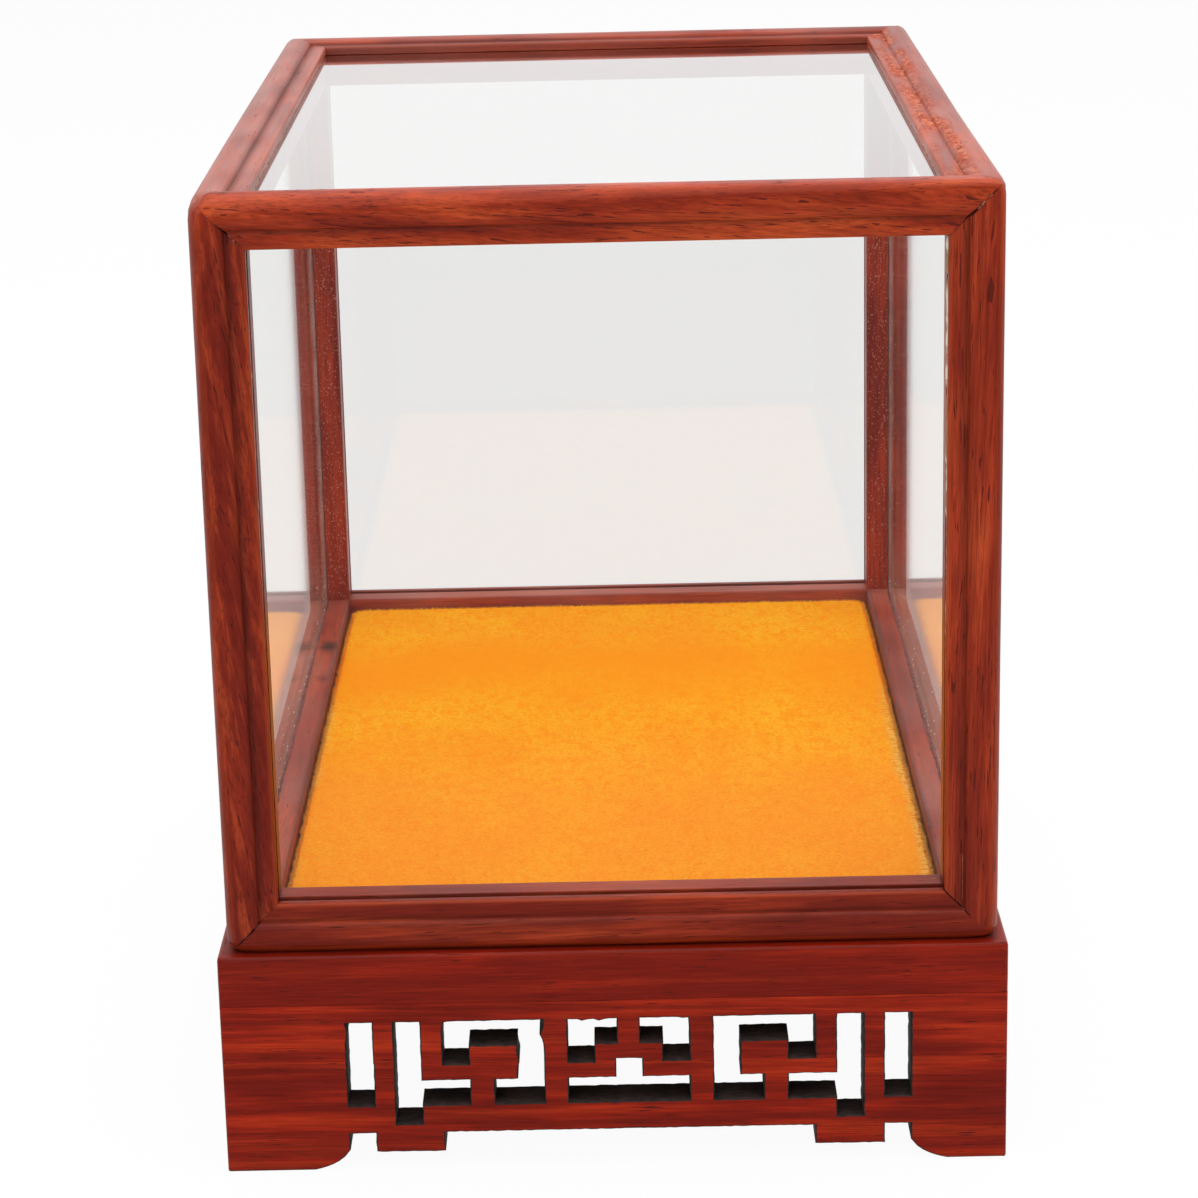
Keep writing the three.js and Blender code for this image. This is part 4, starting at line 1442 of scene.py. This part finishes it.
# A pale thread in the valley of the front right post, near its foot: partly polish and partly a painted
# highlight for a glint there.
valley_x, valley_y = COVER.x / 2 - BEAD_WIDTH - 0.3, -COVER.y / 2 + STRIP_DROP + VALLEY_DEPTH - 0.05
bedding.append((straight((valley_x, valley_y, 57), (valley_x, valley_y, 67), stray=0.04), 0.05))
thread_piece("brown_glue", "brown_glue", bedding)
thread_piece("foot_glue", "groove_bedding", pane_feet)

# %% [markdown]
# ## Filler in the mitres
# Short threads follow the front mitres where they gape. A helper walks down the mitre on the
# front face, over bead and strip, so that the filler lies on the moulding and not in the air.

# %% Filler in the mitres
def on_front(distance, corner_x, corner_z, lift=0.04):
    """A point of the front face on the mitre of a corner, at a distance from that corner."""
    depth = float(np.interp(distance, [v for u, v in first_half[8:]], [u for u, v in first_half[8:]]))
    x = corner_x * (COVER.x / 2 - distance)
    z = COVER_TOP - distance if corner_z > 0 else COVER_FOOT - PLANED + distance
    return Vector((x, -COVER.y / 2 + depth - lift, z))


packed = []
for corner_x, corner_z, start, end, thick in (
    (1, 1, 2.9, 3.5, 0.16),
    (1, 1, 4.2, 5.3, 0.24),
    (1, 1, 5.2, 5.9, 0.22),
    (1, 1, 6.6, 7.3, 0.12),
    (1, 1, 9.2, 10.4, 0.07),
    (-1, -1, 4.2, 4.8, 0.09),
    (-1, -1, 6.3, 7.0, 0.10),
    (-1, 1, 7.8, 10.4, 0.09),
    (1, -1, 7.0, 7.8, 0.10),
):
    count = max(3, int((end - start) / 0.35))
    path = [on_front(start + (end - start) * k / count, corner_x, corner_z) for k in range(count + 1)]
    path = [at + Vector((0.10 * noise.noise(at * 1.7), 0, 0.10 * noise.noise(at * 1.9))) for at in path]
    packed.append((path, thick))
thread_piece("mitre_filler", "joint_filler", packed)

# %% [markdown]
# ## Specks
# Dried crumbs of glue cling to the panes, most of them near the right stile of the front pane
# and along the feet of the side panes. Each is a tiny bent thread, placed by seeded draws so
# that every run gives the same ones.

# %% Specks on the panes
FRONT_SPECKS, SIDE_SPECKS = 90, 110
specks = []
for _ in range(FRONT_SPECKS):
    x = draws.choice((STILE - abs(draws.gauss(0, 5)), draws.uniform(-STILE, STILE)))
    at = Vector((x, PANE_FRONT - 0.01, draws.uniform(FOOT_RAIL + 1, COVER_TOP - LIP - 1)))
    size = draws.uniform(0.05, 0.11)
    specks.append(([at, at + Vector((size, 0, size * 0.6)), at + Vector((2 * size, 0, size * 0.3))], size))
for side in (-1, 1):
    pane = side * (COVER.x / 2 - PANE_IN - PANE_THICK - 0.02)
    for _ in range(SIDE_SPECKS):
        height = FOOT_RAIL + 0.5 + abs(draws.gauss(0, 7))
        at = Vector((pane, draws.uniform(-95, 100), height))
        size = draws.uniform(0.06, 0.13)
        path = [at, at + Vector((0, 2.5 * size, size)), at + Vector((0, 5 * size, 0.5 * size))]
        specks.append((path, size))
smear = Vector((66.2, -107.6, FOOT_RAIL + 0.05))
specks.append((straight(smear, smear + Vector((1.7, 0.1, 0)), step=0.3, seed=3), 0.16))
thread_piece("glue_specks", "pale_glue", specks)

# %% [markdown]
# ## The glass and the boards that stay as they are
# The panes, the deck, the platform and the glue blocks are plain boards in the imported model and
# on the real case alike, so their solids stay and only get their finish.

# %% Finishes for the solids that stay
def give_finish(node_name, material):
    data = bpy.data.objects[node_name].data
    data.materials.clear()
    data.materials.append(material)


for side in ("front", "back"):
    give_finish("glass_" + side, pane_glass)
for side in ("left", "right"):
    give_finish("glass_" + side, side_glass)
give_finish("glass_top", top_glass)
inner_boards = ["base_deck", "platform_board", *("corner_block_" + name for name in CORNERS)]
for kept in inner_boards:
    give_finish(kept, inner_wood)
print("inner boards", len(inner_boards))

# %% [markdown]
# ## The floor and the light
# The case stands on a white sweep. The floor has to look white to the camera and in mirrors,
# yet must not light the case more, so most of what the camera sees of it is a plain white that
# only those rays meet. The rest is a dull white surface, which keeps the case's shadow.

# %% Floor
def white_sweep(tree):
    rays = add(tree, "ShaderNodeLightPath").outputs
    seen = maths(tree, "MAXIMUM", rays["Is Camera Ray"], rays["Is Glossy Ray"])
    seen = maths(tree, "MAXIMUM", seen, rays["Is Transmission Ray"])
    dull = add(tree, "ShaderNodeBsdfDiffuse", {"Color": (0.8, 0.8, 0.8, 1.0)})
    depth = add(tree, "ShaderNodeSeparateXYZ", {0: object_place(tree)}).outputs["Y"]
    in_mirror = between(tree, depth, -0.16, -0.08, 0.12, 1.0)
    dimmed = between(tree, rays["Is Glossy Ray"], 0.0, 1.0, 1.0, in_mirror)
    plain = add(tree, "ShaderNodeEmission", {"Color": (1.0, 1.0, 1.0, 1.0), "Strength": dimmed})
    return two_shaders(tree, times(tree, seen, 0.95), dull.outputs[0], plain.outputs[0])


floor_mesh = bpy.data.meshes.new("floor")
FLOOR = 6.0
round_about = ((-1, -1), (1, -1), (1, 1), (-1, 1))
floor_mesh.from_pydata([(FLOOR * x, FLOOR * y, 0) for x, y in round_about], [], [(0, 1, 2, 3)])
floor_mesh.materials.append(finish("white_sweep", white_sweep))
floor = bpy.data.objects.new("floor", floor_mesh)
bpy.context.collection.objects.link(floor)
floor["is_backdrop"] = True
print("floor", 2 * FLOOR, "m wide")

# %% [markdown]
# ## Lamps and surroundings
# A wide soft lamp above and a little in front gives the rails their pale top edges. It is so
# wide that its mirror image fills the top pane, which then shows no hard edge. A second, weaker
# one fills from the camera's side. The surroundings are white for the camera, and in mirrors
# they are white behind and dim towards the front, so that the upright panes stay clear.

# %% World and lamps
bpy.context.scene.view_settings.view_transform = "Standard"
world = bpy.data.worlds.new("surroundings")
bpy.context.scene.world = world
world.use_nodes = True
sky = world.node_tree
sky.nodes.clear()
rays = add(sky, "ShaderNodeLightPath").outputs
direction = add(sky, "ShaderNodeTexCoord").outputs["Generated"]
parts = add(sky, "ShaderNodeSeparateXYZ", {0: direction}).outputs
behind = between(sky, parts["Y"], -0.5, 0.1)
mirrored = between(sky, behind, 0.0, 1.0, 0.15, 1.0)
for_mirror = times(sky, rays["Is Glossy Ray"], mirrored)
for_dull = times(sky, rays["Is Diffuse Ray"], 0.45)
strength = plus(sky, plus(sky, rays["Is Camera Ray"], for_mirror), for_dull)
strength = maths(sky, "MAXIMUM", strength, rays["Is Transmission Ray"])
glow = add(sky, "ShaderNodeBackground", {"Color": (1.0, 1.0, 1.0, 1.0), "Strength": strength})
add(sky, "ShaderNodeOutputWorld", {"Surface": glow.outputs[0]})


AIM = Vector((0, 0, 0.1))  # the middle of the case, in metres


def soft_lamp(name, place, size, power):
    data = bpy.data.lights.new(name, "AREA")
    data.shape = "SQUARE"
    data.size = size
    data.energy = power
    lamp = bpy.data.objects.new(name, data)
    lamp.location = place
    lamp.rotation_euler = (AIM - Vector(place)).to_track_quat("-Z", "Y").to_euler()
    bpy.context.collection.objects.link(lamp)


soft_lamp("lamp_above", place=(0.1, -0.1, 1.35), size=2.2, power=32.0)
soft_lamp("lamp_front", place=(-0.5, -1.6, 0.9), size=0.9, power=4.6)

# %% [markdown]
# ## Size
# The dressed case must still fill the same box as the imported one. Both boxes are given as the
# last value.

# %% The sizes of both boxes
def plain(box):
    return [[float(c) for c in corner] for corner in box]


{"cad": plain(cad_box), "visual": plain(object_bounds())}
